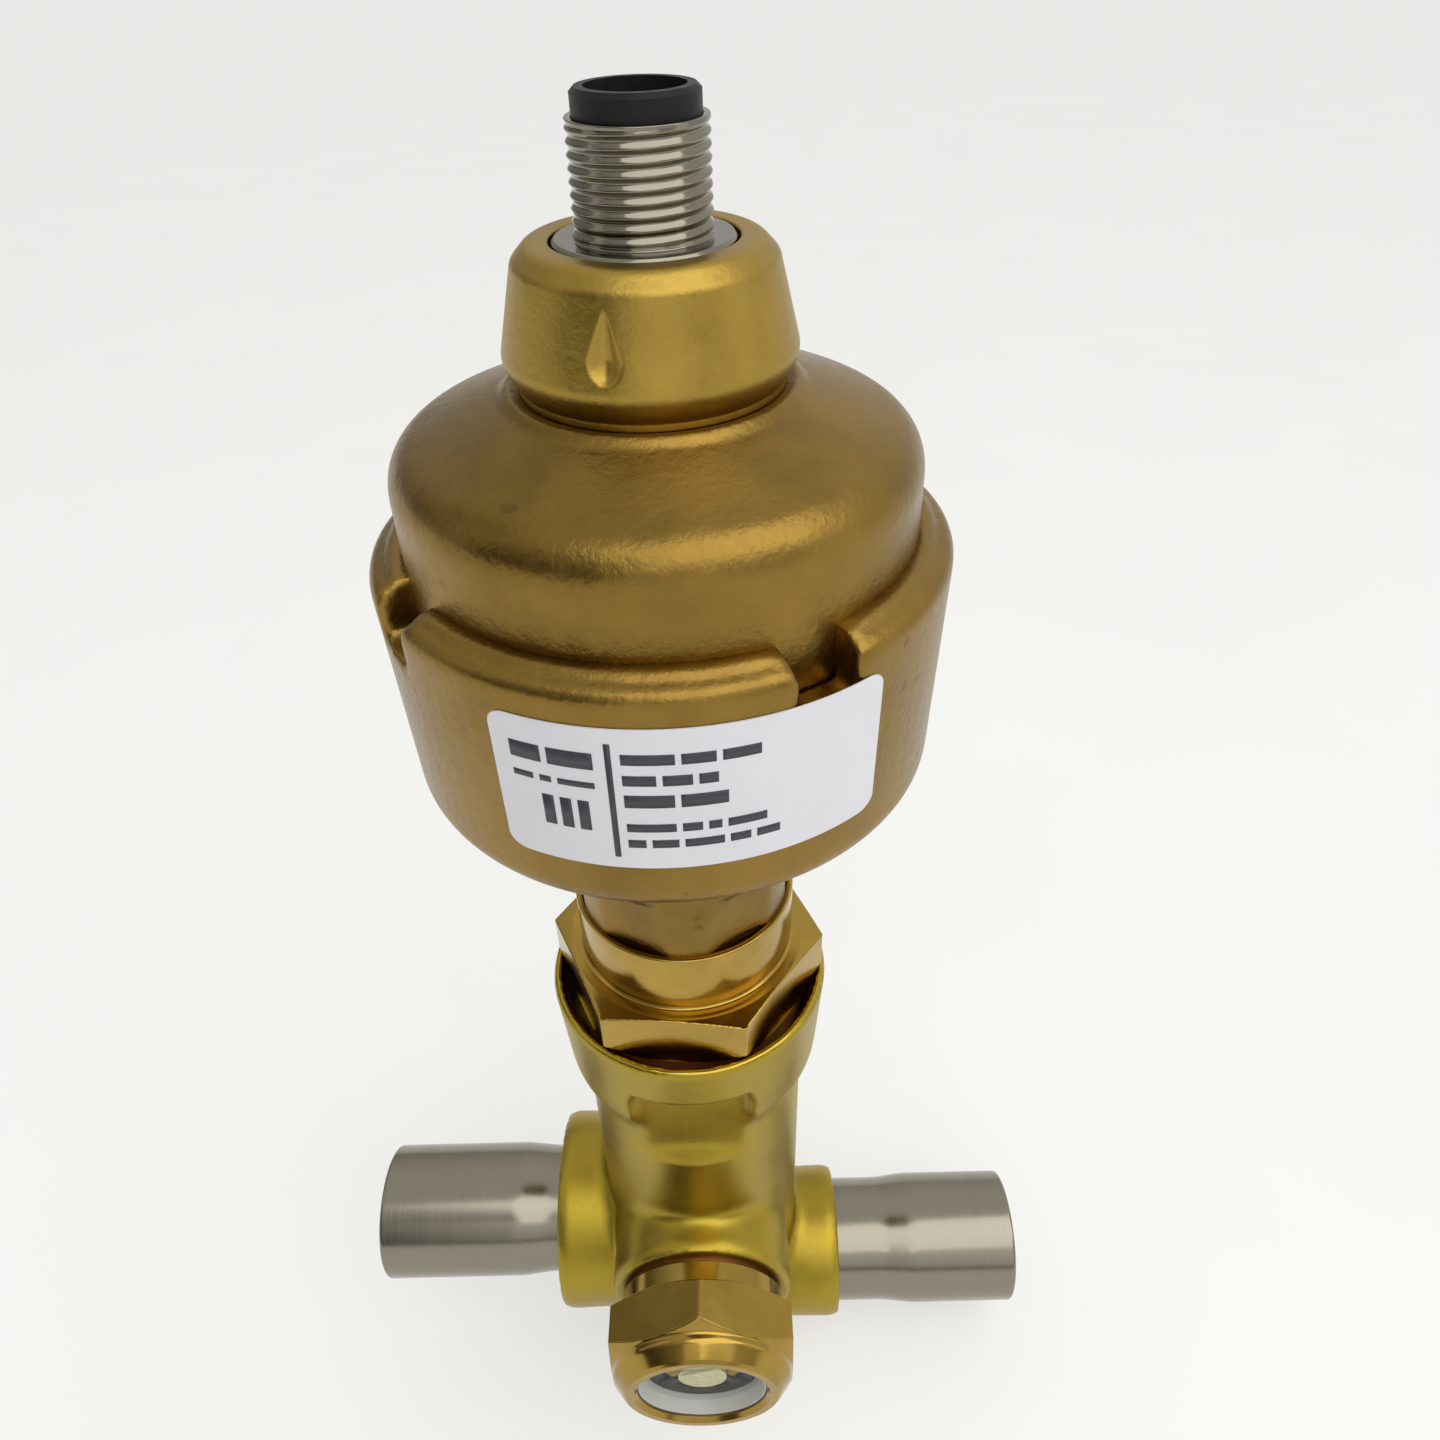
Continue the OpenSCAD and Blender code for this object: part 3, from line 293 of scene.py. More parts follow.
def window_glass(name):
    """Clear glass with a slight smear."""
    f = Finish(name, Metallic=0.0, IOR=1.5, Alpha=0.12, Base_Color=(0.10, 0.11, 0.10))
    return f.done(roughness=f.spread(f.noise(300.0, 3.0), 0.03, 0.08))


def build_finishes(colours):
    """One material for each of the record's slots, and those of the pieces that have their own axis."""
    c = {key: tuple(getattr(colours, key)) for key in ValveColours.__annotations__}
    inlet, outlet, sight = ((0.0, 0.0, level * MM) for level in (INLET_Z, OUTLET_Z, SIGHT_Z))
    return {
        "forged_brass": forged_brass("forged_brass", c["forged"]),
        "machined_forging": turned_brass("machined_forging", shade(c["forged"], 1.12), 2),
        "cast_brass": cast_brass("cast_brass", c["cast"]),
        "turned_brass": turned_brass("turned_brass", c["turned"], 2),
        "sight_brass": turned_brass("sight_brass", shade(c["turned"], 0.86), 1, sight),
        "satin_brass": satin_brass("satin_brass", c["satin"]),
        # The connector shell gets the stubs' steel darkened to 0.85: painted shade standing in for the dark
        # reflections along its thread.
        "stainless": drawn_steel("stainless", shade(c["steel"], 0.85), 2, rough_low=0.08),
        "inlet_steel": drawn_steel("inlet_steel", c["steel"], 0, inlet),
        "outlet_steel": drawn_steel("outlet_steel", c["steel"], 0, outlet),
        "inner_steel": plain_metal("inner_steel", (0.52, 0.52, 0.53), 0.3, 900.0),
        "black_plastic": moulded("black_plastic", c["plastic"], 0.42, specular=0.16),
        "window_glass": window_glass("window_glass"),
        "white_enamel": label_film("white_enamel", (0.62, 0.625, 0.59)),
        "indicator_yellow": moulded("indicator_yellow", (0.86, 0.84, 0.50), 0.6, 2200.0),
        "label_film": label_film("label_film", c["label"]),
        "label_ink": moulded("label_ink", c["ink"], 0.45, 700.0),
        "seal_rubber": moulded("seal_rubber", (0.03, 0.03, 0.033), 0.6),
        # The gasket's colour is partly its own red and partly painted shade: it is darkened for the shaded gap under
        # the bonnet nut where it sits.
        "seal_red": moulded("seal_red", (0.16, 0.03, 0.015), 0.6),
        "copper": plain_metal("copper", (0.70, 0.36, 0.19), 0.3, 1100.0),
        "gear_brass": plain_metal("gear_brass", (0.70, 0.52, 0.20), 0.28, 1100.0),
        "magnet": plain_metal("magnet", (0.10, 0.10, 0.11), 0.45, 700.0),
        "lead_red": moulded("lead_red", (0.45, 0.04, 0.03), 0.45),
        "contact_gold": plain_metal("contact_gold", (0.83, 0.60, 0.22), 0.2, 1500.0),
    }


# Mesh tools

def rounded(points, steps=5):
    """A closed outline in millimetres, its corners (r, z, radius) rounded and each arc between support points."""
    out = []
    count = len(points)
    for i in range(count):
        here = np.array(points[i][:2], float)
        radius = points[i][2] if len(points[i]) > 2 else 0.0
        before = np.array(points[i - 1][:2], float) - here
        after = np.array(points[(i + 1) % count][:2], float) - here
        len_b, len_a = np.linalg.norm(before), np.linalg.norm(after)
        before, after = before / len_b, after / len_a
        angle = math.acos(float(np.clip(before @ after, -1, 1)))
        if radius <= 0 or angle > math.pi - 0.02:
            out.append(here)
            continue
        reach = min(radius / math.tan(angle / 2), 0.46 * len_b, 0.46 * len_a)
        radius = reach * math.tan(angle / 2)
        middle = here + (before + after) / np.linalg.norm(before + after) * (radius / math.sin(angle / 2))
        start, end = here + before * reach, here + after * reach
        a0 = math.atan2(*(start - middle)[::-1])
        sweep = (math.atan2(*(end - middle)[::-1]) - a0 + math.pi) % TURN - math.pi
        lead = min(0.12, 0.3 * reach)
        out.append(start + before * min(lead, len_b * 0.5 - reach))
        out += [middle + radius * np.array([math.cos(a0 + sweep * k / steps), math.sin(a0 + sweep * k / steps)])
                for k in range(steps + 1)]
        out.append(end + after * min(lead, len_a * 0.5 - reach))
    return np.array(out)


def refined(outline, step, low, high):
    """The same closed outline with points no further apart than step between two levels."""
    out = []
    for a, b in zip(outline, np.roll(outline, -1, axis=0)):
        inside = low <= (a[1] + b[1]) / 2 <= high
        parts = max(1, math.ceil(np.linalg.norm(b - a) / step)) if inside else 1
        out += [a + (b - a) * k / parts for k in range(parts)]
    return np.array(out)


def even_turn(count):
    """Even angles round a full turn."""
    return np.arange(count) * TURN / count


def hexagon_turn(count, turn):
    """Angles round a hexagon, closer together at its corners."""
    corners = np.radians(turn) + np.arange(6) * TURN / 6
    close = np.radians([-1.4, -0.9, -0.5, -0.2, 0.2, 0.5, 0.9, 1.4])
    at_corners = (corners[:, None] + close).ravel() % TURN
    return np.unique(np.round(np.concatenate([even_turn(count), at_corners]), 6))


def hexagon_radius(angles, across, turn, soft=0.07):
    """Distance from the axis to a hexagon's flats, with softened corners."""
    flats = np.radians(turn + 30) + np.arange(6) * TURN / 6
    lean = np.cos(angles[None, :] - flats[:, None])
    reach = np.where(lean > 0.2, across / 2 / np.maximum(lean, 0.2), 1e3)
    return -soft * np.log(np.exp(-reach / soft + across / 2 / soft).sum(0)) + across / 2


def object_from(name, vertices_mm, faces, finish, replaced=()):
    """A new piece from vertices in millimetres."""
    mesh = bpy.data.meshes.new(name)
    mesh.from_pydata((np.asarray(vertices_mm, float) * MM).tolist(), [], faces)
    return piece_from(name, mesh, finish, replaced)


def piece_from(name, mesh, finish, replaced=()):
    """A new piece that rides on the fixed body and takes the place of the solids it replaces."""
    bm = bmesh.new()
    bm.from_mesh(mesh)
    bmesh.ops.recalc_face_normals(bm, faces=bm.faces)
    bm.to_mesh(mesh)
    bm.free()
    mesh.shade_smooth()
    piece = bpy.data.objects.new(name, mesh)
    bpy.context.scene.collection.objects.link(piece)
    for material in finish if isinstance(finish, (list, tuple)) else [finish]:
        mesh.materials.append(material)
    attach(piece, FIXED_BODY)
    if replaced:
        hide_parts(*replaced)
    return piece


def turned(outline, angles, place=None, shape=None):
    """Vertices and faces of a closed outline turned round the axis; shape changes the radius by angle and level."""
    rows, columns = len(outline), len(angles)
    radius = np.repeat(outline[:, :1], columns, axis=1)
    level = np.repeat(outline[:, 1:], columns, axis=1)
    if shape:
        radius = shape(angles[None, :], radius, level)
    points = np.stack([radius * np.cos(angles), radius * np.sin(angles), level], axis=-1).reshape(-1, 3)
    if place:
        points = np.array([place @ Vector(p) for p in points])
    i, j = np.meshgrid(np.arange(rows), np.arange(columns), indexing="ij")
    down, across = (i + 1) % rows, (j + 1) % columns
    corners = (i * columns + j, i * columns + across, down * columns + across, down * columns + j)
    return points, np.stack(corners, axis=-1).reshape(-1, 4).tolist()


def remeshed(node, cell_mm):
    """A copy of a solid's mesh in even cells."""
    source = bpy.data.objects.new("remesh_source", NODES[node].data.copy())
    bpy.context.scene.collection.objects.link(source)
    cells = source.modifiers.new("cells", "REMESH")
    cells.mode = "VOXEL"
    cells.voxel_size = cell_mm * MM
    graph = bpy.context.evaluated_depsgraph_get()
    mesh = bpy.data.meshes.new_from_object(source.evaluated_get(graph))
    bpy.data.objects.remove(source)
    mesh.materials.clear()
    return mesh


def mesh_points(mesh):
    """A mesh's vertices, in millimetres."""
    points = np.empty(len(mesh.vertices) * 3, np.float64)
    mesh.vertices.foreach_get("co", points)
    return points.reshape(-1, 3) / MM


def set_points(mesh, points_mm):
    """Moves a mesh's vertices to points in millimetres."""
    mesh.vertices.foreach_set("co", (points_mm * MM).astype(np.float32).ravel())
    mesh.update()


def relaxed(mesh, rounds, share=None):
    """Moves each vertex towards the mean of its neighbours; share from 0 to 1 says how much at each vertex."""
    strength = 0.5
    edges = np.empty(len(mesh.edges) * 2, np.int64)
    mesh.edges.foreach_get("vertices", edges)
    edges = edges.reshape(-1, 2)
    points = mesh_points(mesh)
    ways = np.bincount(edges.ravel(), minlength=len(points)).astype(float)
    weight = strength if share is None else strength * share[:, None]
    for _ in range(rounds):
        total = np.stack([np.bincount(edges[:, 0], points[edges[:, 1], k], len(points))
                          + np.bincount(edges[:, 1], points[edges[:, 0], k], len(points))
                          for k in range(3)], axis=1)
        points = points + (total / ways[:, None] - points) * weight
    set_points(mesh, points)


# Operators

def sizes():
    """The scene's sizes."""
    return bpy.context.scene.valve_sizes


FINISH = {}


class VALVE_OT_finishes(bpy.types.Operator):
    """Makes the finishes and gives each solid its own"""
    bl_idname = "valve.finishes"
    bl_label = "Finishes"

    def execute(self, context):
        for node in NODES.values():
            node.data.materials.clear()
        for plain in list(bpy.data.materials):
            bpy.data.materials.remove(plain)
        FINISH.update(build_finishes(context.scene.valve_colours))
        for part in frame["record"]["subparts"]:
            NODES[part["node"]].data.materials.append(FINISH[part["material_slot"]])
        return {"FINISHED"}


class VALVE_OT_housings(bpy.types.Operator):
    """Casts the lower and the upper housing with soft edges"""
    bl_idname = "valve.housings"
    bl_label = "Cast housings"

    def execute(self, context):
        s = sizes()
        for node, name in (("lower_housing", "lower_casting"), ("upper_housing", "upper_casting")):
            mesh = remeshed(node, s.cast_grain)
            relaxed(mesh, s.cast_rounds)
            if node == "lower_housing":
                self.fit_rim(mesh)
            piece_from(name, mesh, FINISH["cast_brass"], [node])
        return {"FINISHED"}

    @staticmethod
    def fit_rim(mesh):
        """Runs the neck's flats out softly, wears the notches' corners and leads the rim's lip up to the dome."""
        flats_end, neck_skin, rounds = 121.8, 12, 14
        notch_foot, notch_half, rim_wall = 158.6, 3, 26
        lip_foot, lip_inner, lip_outer, lip_lead = 160.2, 25.2, 26.7, 0.45
        points = mesh_points(mesh)
        level = points[:, 2]
        radius = np.hypot(points[:, 0], points[:, 1])
        soft = np.clip(1.4 - np.abs(level - flats_end) / 1.6, 0, 1) * (radius > neck_skin)
        angle = np.arctan2(points[:, 1], points[:, 0])
        from_notch = np.abs((angle - math.radians(NOTCH_TURN) + TURN / 8) % (TURN / 4) - TURN / 8) * radius
        worn = np.clip(1.3 - np.abs(from_notch - notch_half) / 1.8, 0, 0.8)
        worn = worn * (level > notch_foot) * (radius > rim_wall)
        relaxed(mesh, rounds, np.maximum(soft, worn))
        points = mesh_points(mesh)
        radius = np.hypot(points[:, 0], points[:, 1])
        lip = (radius > lip_inner) & (points[:, 2] > lip_foot)
        lead = lip_lead * np.clip((lip_outer - radius) / 0.6, 0, 1) * lip
        points[:, :2] *= (1 - lead / np.maximum(radius, 1))[:, None]
        set_points(mesh, points)


class VALVE_OT_body(bpy.types.Operator):
    """Forges the valve body, with fillets where its bosses meet the tube"""
    bl_idname = "valve.body"
    bl_label = "Forged body"

    def execute(self, context):
        s = sizes()
        mesh = remeshed("valve_body", s.forge_grain)
        relaxed(mesh, 1)
        relaxed(mesh, s.fillet_rounds, self.fillets(*mesh_points(mesh).T))
        piece_from("body_forging", mesh, [FINISH["forged_brass"], FINISH["machined_forging"]], ["valve_body"])
        mesh.polygons.foreach_set("material_index", self.machined(mesh).astype(np.int32))
        return {"FINISHED"}

    @staticmethod
    def fillets(x, y, z):
        """How much each vertex is smoothed: where bosses meet the tube, at the shoulder's edges and round the pad."""
        boss_reach, shoulder_reach = 2.4, 1.6
        pad_half, pad_y, pad_low, pad_high = 9, -13, 70.2, 89.2
        tube = np.abs(np.hypot(x, y) - np.interp(z, BODY_LEVELS, BODY_RADII))
        share = np.zeros(len(x))
        for off, radius, side in (
                (np.hypot(y, z - INLET_Z), np.interp(-x, [0, 22.5], [15.0, 16.1]), -x),
                (np.hypot(y, z - OUTLET_Z), 12.5, x),
                (np.hypot(x, z - SIGHT_Z), 13.8, -y)):
            close = np.hypot(tube, np.abs(off - radius))
            share = np.maximum(share, np.clip(1.5 - close / boss_reach, 0, 1) * (side > 2))
        for level in BODY_LEVELS[1:3]:
            near = np.hypot(z - level, tube)
            share = np.maximum(share, np.clip(1.2 - near / shoulder_reach, 0, 0.35))
        share[(np.abs(x) < pad_half) & (y < pad_y) & (z > pad_low) & (z < pad_high)] = 0.7
        return share

    @staticmethod
    def machined(mesh):
        """The faces that were cut after forging: the rim's top, the cup's inside and the ends of the bosses."""
        rim_top, cup_floor, cup_bore, boss_end = 96.3, 93.0, 18.4, 22
        normal = np.empty(len(mesh.polygons) * 3)
        centre = np.empty(len(mesh.polygons) * 3)
        mesh.polygons.foreach_get("normal", normal)
        mesh.polygons.foreach_get("center", centre)
        x, y, z = centre.reshape(-1, 3).T / MM
        inside = (np.hypot(x, y) < cup_bore) & (z > cup_floor)
        ends = (np.abs(normal.reshape(-1, 3)[:, 0]) > 0.9) & (np.abs(x) > boss_end)
        return (z > rim_top) | inside | ends


class VALVE_OT_stubs(bpy.types.Operator):
    """Turns the two solder stubs"""
    bl_idname = "valve.stubs"
    bl_label = "Solder stubs"

    def execute(self, context):
        edge = sizes().edge_round
        seat_r, neck_r, tube_r, bore_r, stop_r = 9.5, 10.3, 10.9, 9.55, 8.5
        seat_l, flare_l, flare_round = 5, 5, 18.0
        end, stop, stop_back = 55.0, 38.0, 36.5
        inlet = Matrix.Translation((0, 0, INLET_Z)) @ Matrix.Rotation(math.radians(-90), 4, "Y")
        outlet = Matrix.Translation((0, 0, OUTLET_Z)) @ Matrix.Rotation(math.radians(90), 4, "Y")
        for node, name, place, reach, neck, way, finish in (
                ("inlet_stub", "inlet_tube", inlet, 24.0, 2.5, 5.5, "inlet_steel"),
                ("outlet_stub", "outlet_tube", outlet, 23.5, 8.5, 5.2, "outlet_steel")):
            outline = rounded([
                (way, reach - seat_l), (seat_r, reach - seat_l), (seat_r, reach), (neck_r, reach, 0.15),
                (neck_r, reach + neck, flare_round), (tube_r, reach + neck + flare_l, flare_round),
                (tube_r, end, 2 * edge), (bore_r, end, edge), (bore_r, stop, edge), (stop_r, stop, edge),
                (way, stop_back)])
            points, faces = turned(outline, even_turn(160), place)
            object_from(name, points, faces, FINISH[finish], [node])
        return {"FINISHED"}


class VALVE_OT_sight_glass(bpy.types.Operator):
    """Turns the sight glass nut, a corner uppermost, and what shows behind its glass: the white sleeve, the yellow
    dial and a dark ring of painted shade round the dial
    """
    bl_idname = "valve.sight_glass"
    bl_label = "Sight glass nut"

    def execute(self, context):
        edge = sizes().edge_round
        hexagon_z, dial_r = 24.75, 3.65
        place = Matrix.Translation((0, 0, SIGHT_Z)) @ Matrix.Rotation(math.radians(90), 4, "X")
        outline = rounded([
            (6.0, 14.0), (9.5, 14.0, edge), (9.5, 21.6), (12.4, 21.6, edge), (12.4, 24.8, 0.3), (13.23, 24.8, 0.2),
            (15.6, 25.98, 0.3), (15.6, 31.02, 0.3), (13.3, 32.2, 0.6), (13.3, 33.2, 1.6), (11.72, 35.2, 0.6),
            (11.25, 35.6, 0.3), (10.1, 35.6, 0.2), (9.5, 35.0, 0.1), (9.5, 31.4), (6.0, 31.4)])
        outline = refined(outline, 0.28, 24.7, 32.3)
        angles = hexagon_turn(240, SIGHT_TURN)
        flats = hexagon_radius(angles, SIGHT_AF, SIGHT_TURN)
        points, faces = turned(outline, angles, place,
                               lambda a, r, z: np.where(z > hexagon_z, np.minimum(r, flats), r))
        object_from("sight_nut_turned", points, faces, FINISH["sight_brass"], ["sight_glass_nut"])
        for name, corners, finish, replaced in (
                ("sight_sleeve", [(8.2, 31.6), (9.45, 31.6), (9.45, 34.7, 0.1), (9.15, 34.7, 0.1),
                                  (8.3, 32.4, 0.2)], "white_enamel", ["sight_ring"]),
                # The dark seat ring is painted shade: rubber-dark colour on the floor between the sleeve and the
                # dial, where the nut's lip shades it.
                ("sight_seat", [(6.1, 31.42), (9.4, 31.42), (9.4, 32.3), (6.1, 32.15, 0.1)],
                 "seal_rubber", ())):
            points, faces = turned(rounded(corners), even_turn(120), place)
            object_from(name, points, faces, FINISH[finish], replaced)
        # Beyond a set radius the dial takes the dark rubber finish: painted shade round its yellow middle, where the
        # nut's lip shades it.
        dial = NODES["indicator_disc"].data.copy()
        dial.materials.clear()
        piece_from("indicator_dial", dial, [FINISH["indicator_yellow"], FINISH["seal_rubber"]], ["indicator_disc"])
        for face in dial.polygons:
            off = math.hypot(face.center.x, face.center.z - SIGHT_Z * MM)
            face.material_index = int(off > dial_r * MM)
        return {"FINISHED"}


class VALVE_OT_bonnet_nut(bpy.types.Operator):
    """Turns the bonnet nut with its chamfered hexagon and collar"""
    bl_idname = "valve.bonnet_nut"
    bl_label = "Bonnet nut"

    def execute(self, context):
        edge = sizes().edge_round
        outline = rounded([
            (5.0, 81.2), (13.0, 81.2, edge), (13.0, 94.6), (15.68, 94.6, edge), (18.5, 97.55, 0.4),
            (18.5, 102.98, 0.3), (15.7, 103.6, 0.5), (13.95, 103.6, 0.5), (13.95, 105.0, 0.1), (14.2, 105.25, 0.1),
            (14.2, 113.1, 1.3 * edge), (13.4, 113.1, edge), (13.4, 112.7), (12.5, 112.7), (12.5, 112.1),
            (10.5, 112.1), (10.5, 102.1), (6.5, 102.1), (6.5, 82.2), (5.0, 82.2)])
        outline = refined(outline, 0.28, 94.5, 103.7)
        angles = hexagon_turn(240, BONNET_TURN)
        flats = hexagon_radius(angles, BONNET_AF, BONNET_TURN)
        points, faces = turned(outline, angles, None, lambda a, r, z: np.minimum(r, flats))
        object_from("bonnet_nut_turned", points, faces, FINISH["turned_brass"], ["bonnet_nut"])
        return {"FINISHED"}


class VALVE_OT_gland(bpy.types.Operator):
    """Shapes the gland cap with its three dimples"""
    bl_idname = "valve.gland"
    bl_label = "Gland cap"

    def execute(self, context):
        edge = sizes().edge_round
        outline = rounded([
            (10.2, 179.4), (12.4, 179.4, edge), (12.4, 180.2, 0.3), (13.7, 182.4, 2.2), (11.75, 190.6, 1.4),
            (10.3, 192.1, 1.6), (8.3, 192.1, edge), (8.3, 189.1), (10.2, 189.1)], steps=8)
        outline = refined(outline, 0.18, 181.0, 191.5)
        points, faces = turned(outline, even_turn(540), None, self.dimpled)
        object_from("gland_cap_satin", points, faces, FINISH["satin_brass"], ["gland_cap"])
        return {"FINISHED"}

    @staticmethod
    def dimpled(angle, radius, level):
        """Presses a teardrop into the cone at each of three places."""
        foot, half, tail, depth, inner_r = 185.5, 1.75, 4.0, 0.85, 10.6
        rise = level - foot
        width = np.where(rise < 0, np.sqrt(np.maximum(half ** 2 - rise ** 2, 0)),
                         half * np.maximum(1 - rise / tail, 0) ** 0.9)
        for place in (-104, 16, 136):
            off = (angle - math.radians(place) + math.pi) % TURN - math.pi
            across = np.abs(off) * radius / np.maximum(width, 1e-6)
            dip = np.clip(1 - across ** 2, 0, 1) ** 1.9 * np.clip(width / half, 0, 1)
            radius = np.where(radius > inner_r, radius - depth * dip, radius)
        return radius


class VALVE_OT_connector(bpy.types.Operator):
    """Cuts the thread of the plug connector's shell"""
    bl_idname = "valve.connector"
    bl_label = "Connector shell"

    def execute(self, context):
        s = sizes()
        edge = s.edge_round
        thread_low, thread_high, fade, inner_r = 192.35, 201.25, 0.5, 5.6
        outline = rounded([
            (5.35, 185.1), (6.4, 185.1, edge), (6.4, 187.1), (9.8, 187.1, edge), (9.8, 189.1, edge), (7.55, 189.1),
            (7.55, 191.0, 0.3), (8.15, 191.8, 0.25), (7.75, 192.2, 0.25), (6.05, 192.2, 0.15), (6.0, 201.3, 0.2),
            (5.35, 201.3, 0.15)])
        outline = refined(outline, 0.075, thread_low - 0.05, thread_high)

        def threaded(angle, radius, level):
            phase = (level / s.thread_pitch - angle / TURN) % 1.0
            groove = np.clip(1.25 * (1 - 2 * np.abs(phase - 0.5)) - 0.12, 0, 1)
            ends = np.clip((level - thread_low) / fade, 0, 1) * np.clip((thread_high - level) / fade, 0, 1)
            return np.where(radius > inner_r, radius - s.thread_depth * groove * ends, radius)

        points, faces = turned(outline, even_turn(144), None, threaded)
        object_from("connector_thread", points, faces, FINISH["stainless"], ["connector_shell"])
        return {"FINISHED"}


class VALVE_OT_label(bpy.types.Operator):
    """Prints plain fields on the label"""
    bl_idname = "valve.label"
    bl_label = "Label print"

    # Left, bottom, width and height of the upright line, in millimetres from the label's middle
    LINE = (-7.7, -6.9, 0.55, 13.6)
    # Left and bottom of each row, its height and the widths of its fields
    ROWS = (((-15.8, 3.6), 1.9, (2.6, 3.9)), ((-15.8, 1.4), 0.7, (1.7, 1.0, 3.2)),
            ((-13.6, -3.8), 3.6, (1.0, 1.0, 1.0)),
            ((-6.4, 4.4), 1.2, (4.6, 3.0, 3.4)), ((-6.4, 2.0), 1.2, (2.9, 2.6, 1.7)),
            ((-6.4, -0.6), 1.5, (4.4, 4.2)), ((-6.4, -3.6), 1.0, (4.4, 1.8, 1.2, 3.6)),
            ((-6.4, -5.6), 1.0, (1.6, 2.4, 3.6, 1.9, 2.2)))
    GAP = 0.55
    SKIN = 0.17    # height of the print's foot above the wall

    def execute(self, context):
        fields = [self.LINE]
        for (left, bottom), height, widths in self.ROWS:
            for width in widths:
                fields.append((left, bottom, width, height))
                left += width + self.GAP
        points, faces = [], []
        for field in fields:
            self.patch(points, faces, *field)
        object_from("label_print", points, faces, FINISH["label_ink"], ())
        return {"FINISHED"}

    def patch(self, points, faces, left, bottom, width, height):
        """A thin raised field on the drafted wall that carries the label."""
        base = len(points)
        columns = max(2, math.ceil(width / 0.4) + 1)
        lift = sizes().print_lift
        for skin in (self.SKIN, self.SKIN + lift):
            for v in (bottom, bottom + height):
                z = LABEL_Z + v
                radius = np.interp(z, WALL_LEVELS, WALL_RADII) + skin
                for u in np.linspace(left, left + width, columns):
                    angle = math.radians(LABEL_TURN - 90) + math.asin(u / radius)
                    points.append((radius * math.cos(angle), radius * math.sin(angle), z))
        rows = [base + k * columns for k in range(4)]

        def strip(a, b):
            faces.extend((a + k, a + k + 1, b + k + 1, b + k) for k in range(columns - 1))

        strip(rows[2], rows[3])
        strip(rows[1], rows[0])
        strip(rows[0], rows[2])
        strip(rows[3], rows[1])
        last = columns - 1
        faces.append((rows[0], rows[2], rows[3], rows[1]))
        faces.append((rows[0] + last, rows[1] + last, rows[3] + last, rows[2] + last))


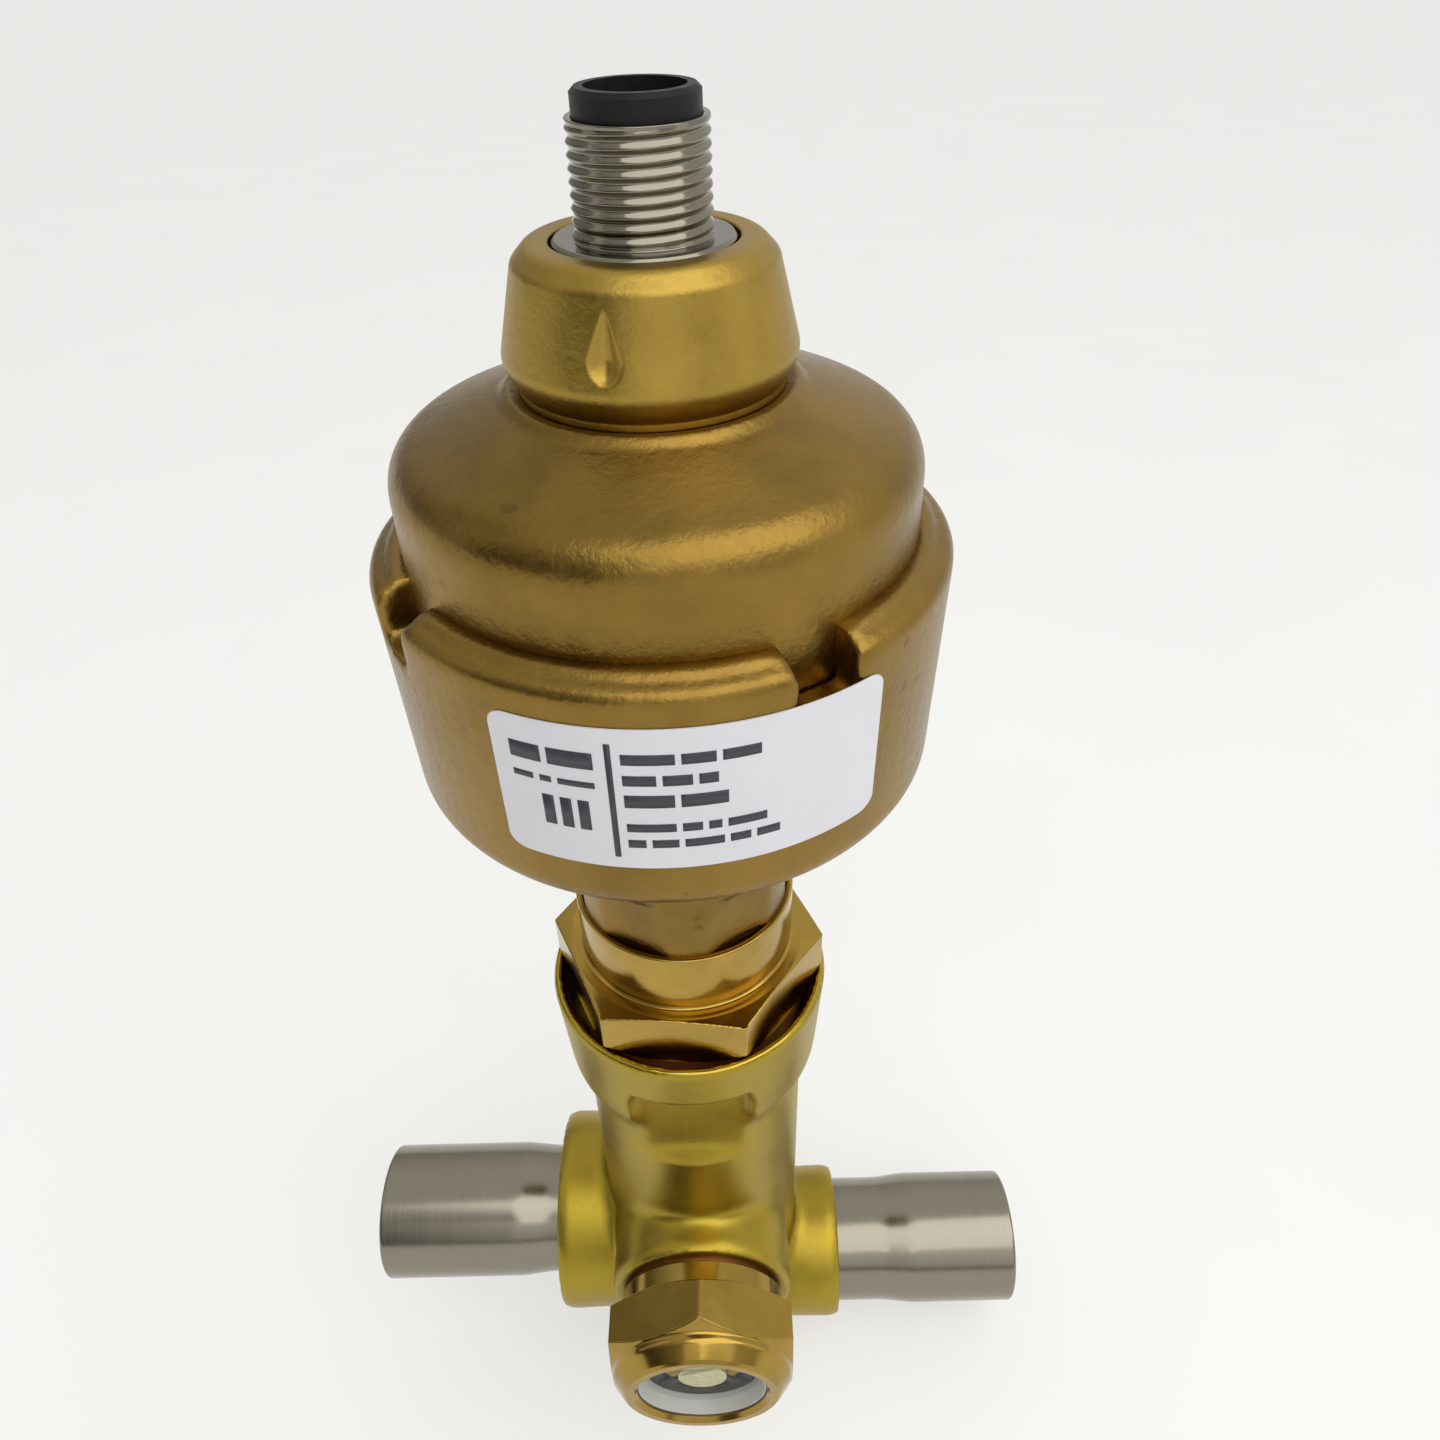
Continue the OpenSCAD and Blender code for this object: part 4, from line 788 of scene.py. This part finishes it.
class VALVE_OT_stage(bpy.types.Operator):
    """Lays the floor and sets the lights and the camera"""
    bl_idname = "valve.stage"
    bl_label = "Stage"

    def execute(self, context):
        studio = context.scene.valve_studio
        context.scene.view_settings.view_transform = "Standard"
        self.floor(tuple(studio.floor), studio.whiteness)
        self.world(context.scene, studio.world, studio.dim)
        self.lamp("key_lamp", (0.20, -0.28, 0.68), (0.85, 0.60), studio.key)
        self.lamp("right_lamp", (0.55, -0.15, 0.30), (0.25, 0.5), studio.side)
        self.lamp("left_lamp", (-0.55, -0.05, 0.35), (0.25, 0.5), studio.side)
        self.lamp("front_lamp", (0.10, -0.70, 0.34), (0.70, 0.50), studio.front)
        self.camera(context.scene)
        return {"FINISHED"}

    @staticmethod
    def floor(colour, whiteness):
        """A pale paper floor that keeps shadows and looks nearly white to the viewer and in reflections."""
        bpy.ops.mesh.primitive_plane_add(size=40.0, location=(0, 0, -0.0001))
        floor = bpy.context.object
        floor.name = "stage_floor"
        f = Finish("floor_paper", Metallic=0.0, Roughness=0.75)
        tone = f.ramp(f.noise(14.0, 2.0), (0.3, shade(colour, 0.97)), (0.7, shade(colour, 1.02)))
        ray = f.add("LightPath").outputs
        seen = f.math("MAXIMUM", ray["Is Camera Ray"], ray["Is Glossy Ray"])
        seen = f.math("MULTIPLY", f.math("MAXIMUM", seen, ray["Is Transmission Ray"]), whiteness)
        white = f.add("Emission", {"Color": (1.0, 1.0, 0.985), "Strength": 1.0})
        blend = f.add("MixShader", {0: seen, 1: f.shader.outputs[0], 2: white.outputs[0]})
        f.feed(f.tree.nodes["Material Output"], {"Surface": blend.outputs[0]})
        floor.data.materials.append(f.done(tone))

    @staticmethod
    def world(scene, bright, dim):
        """Room light that is strong from above, from the right and from behind the valve, and dim opposite."""
        scene.world = bpy.data.worlds.new("room")
        scene.world.use_nodes = True
        tree = scene.world.node_tree
        back = tree.nodes["Background"]
        back.inputs["Color"].default_value = (1.0, 0.99, 0.96, 1.0)
        lean = tree.nodes.new("ShaderNodeVectorMath")
        lean.operation = "DOT_PRODUCT"
        lean.inputs[1].default_value = (0.45, 0.25, 0.85)
        spread = tree.nodes.new("ShaderNodeMapRange")
        spread.interpolation_type = "SMOOTHSTEP"
        for key, value in (("From Min", -0.5), ("From Max", 0.9), ("To Min", dim), ("To Max", bright)):
            spread.inputs[key].default_value = value
        tree.links.new(tree.nodes.new("ShaderNodeTexCoord").outputs["Generated"], lean.inputs[0])
        tree.links.new(lean.outputs["Value"], spread.inputs["Value"])
        tree.links.new(spread.outputs["Result"], back.inputs["Strength"])

    @staticmethod
    def lamp(name, place, size, power):
        """A rectangular lamp that faces the valve's middle."""
        middle = Vector((0, 0, 0.1))
        light = bpy.data.lights.new(name, "AREA")
        light.shape = "RECTANGLE"
        light.size, light.size_y = size
        light.energy = power
        lamp = bpy.data.objects.new(name, light)
        bpy.context.scene.collection.objects.link(lamp)
        aim = middle - Vector(place)
        lamp.matrix_world = Matrix.Translation(place) @ aim.to_track_quat("-Z", "Y").to_matrix().to_4x4()

    @staticmethod
    def camera(scene):
        """The photo's viewing angle: a wide lens close above the connector, looking down."""
        back, height, pitch, yaw, roll, swing = 0.09885, 0.21651, 0.6665, 0.0535, -0.029, 0.058
        ahead = Vector((math.sin(yaw) * math.cos(pitch), math.cos(yaw) * math.cos(pitch), -math.sin(pitch)))
        right = Vector((math.cos(yaw), -math.sin(yaw), 0))
        up = right.cross(ahead)
        right, up = (math.cos(roll) * right + math.sin(roll) * up, -math.sin(roll) * right + math.cos(roll) * up)
        axes = Matrix((right, up, -ahead)).transposed().to_4x4()
        data = bpy.data.cameras.new("photo_camera")
        data.lens = 27.0
        data.sensor_width = 36.0
        data.clip_start = 0.005
        camera = bpy.data.objects.new("photo_camera", data)
        scene.collection.objects.link(camera)
        camera.matrix_world = Matrix.Rotation(swing, 4, "Z") @ Matrix.Translation((0, -back, height)) @ axes
        scene.camera = camera


class VALVE_PT_panel(bpy.types.Panel):
    """Shows the settings and a button for each step"""
    bl_idname = "VALVE_PT_panel"
    bl_label = "Expansion valve"
    bl_space_type = "VIEW_3D"
    bl_region_type = "UI"
    bl_category = "Valve"

    def draw(self, context):
        for group in ("valve_sizes", "valve_colours", "valve_studio"):
            settings = getattr(context.scene, group)
            column = self.layout.column()
            for key in type(settings).__annotations__:
                column.prop(settings, key)
        for operator in OPERATORS:
            self.layout.operator(operator.bl_idname)


GROUPS = {"valve_sizes": ValveSizes, "valve_colours": ValveColours, "valve_studio": StudioSettings}
OPERATORS = [VALVE_OT_finishes, VALVE_OT_housings, VALVE_OT_body, VALVE_OT_stubs, VALVE_OT_sight_glass,
             VALVE_OT_bonnet_nut, VALVE_OT_gland, VALVE_OT_connector, VALVE_OT_label, VALVE_OT_stage]


def register():
    for cls in [*GROUPS.values(), *OPERATORS, VALVE_PT_panel]:
        bpy.utils.register_class(cls)
    for name, group in GROUPS.items():
        setattr(bpy.types.Scene, name, PointerProperty(type=group))


def unregister():
    for name in GROUPS:
        delattr(bpy.types.Scene, name)
    for cls in [VALVE_PT_panel, *reversed(OPERATORS), *reversed(GROUPS.values())]:
        bpy.utils.unregister_class(cls)


def main():
    register()
    for scene_object in [o for o in bpy.data.objects if o.type in {"LIGHT", "CAMERA"}]:
        bpy.data.objects.remove(scene_object)
    for operator in OPERATORS:
        group, name = operator.bl_idname.split(".")
        getattr(getattr(bpy.ops, group), name)()


if __name__ == "__main__":
    main()
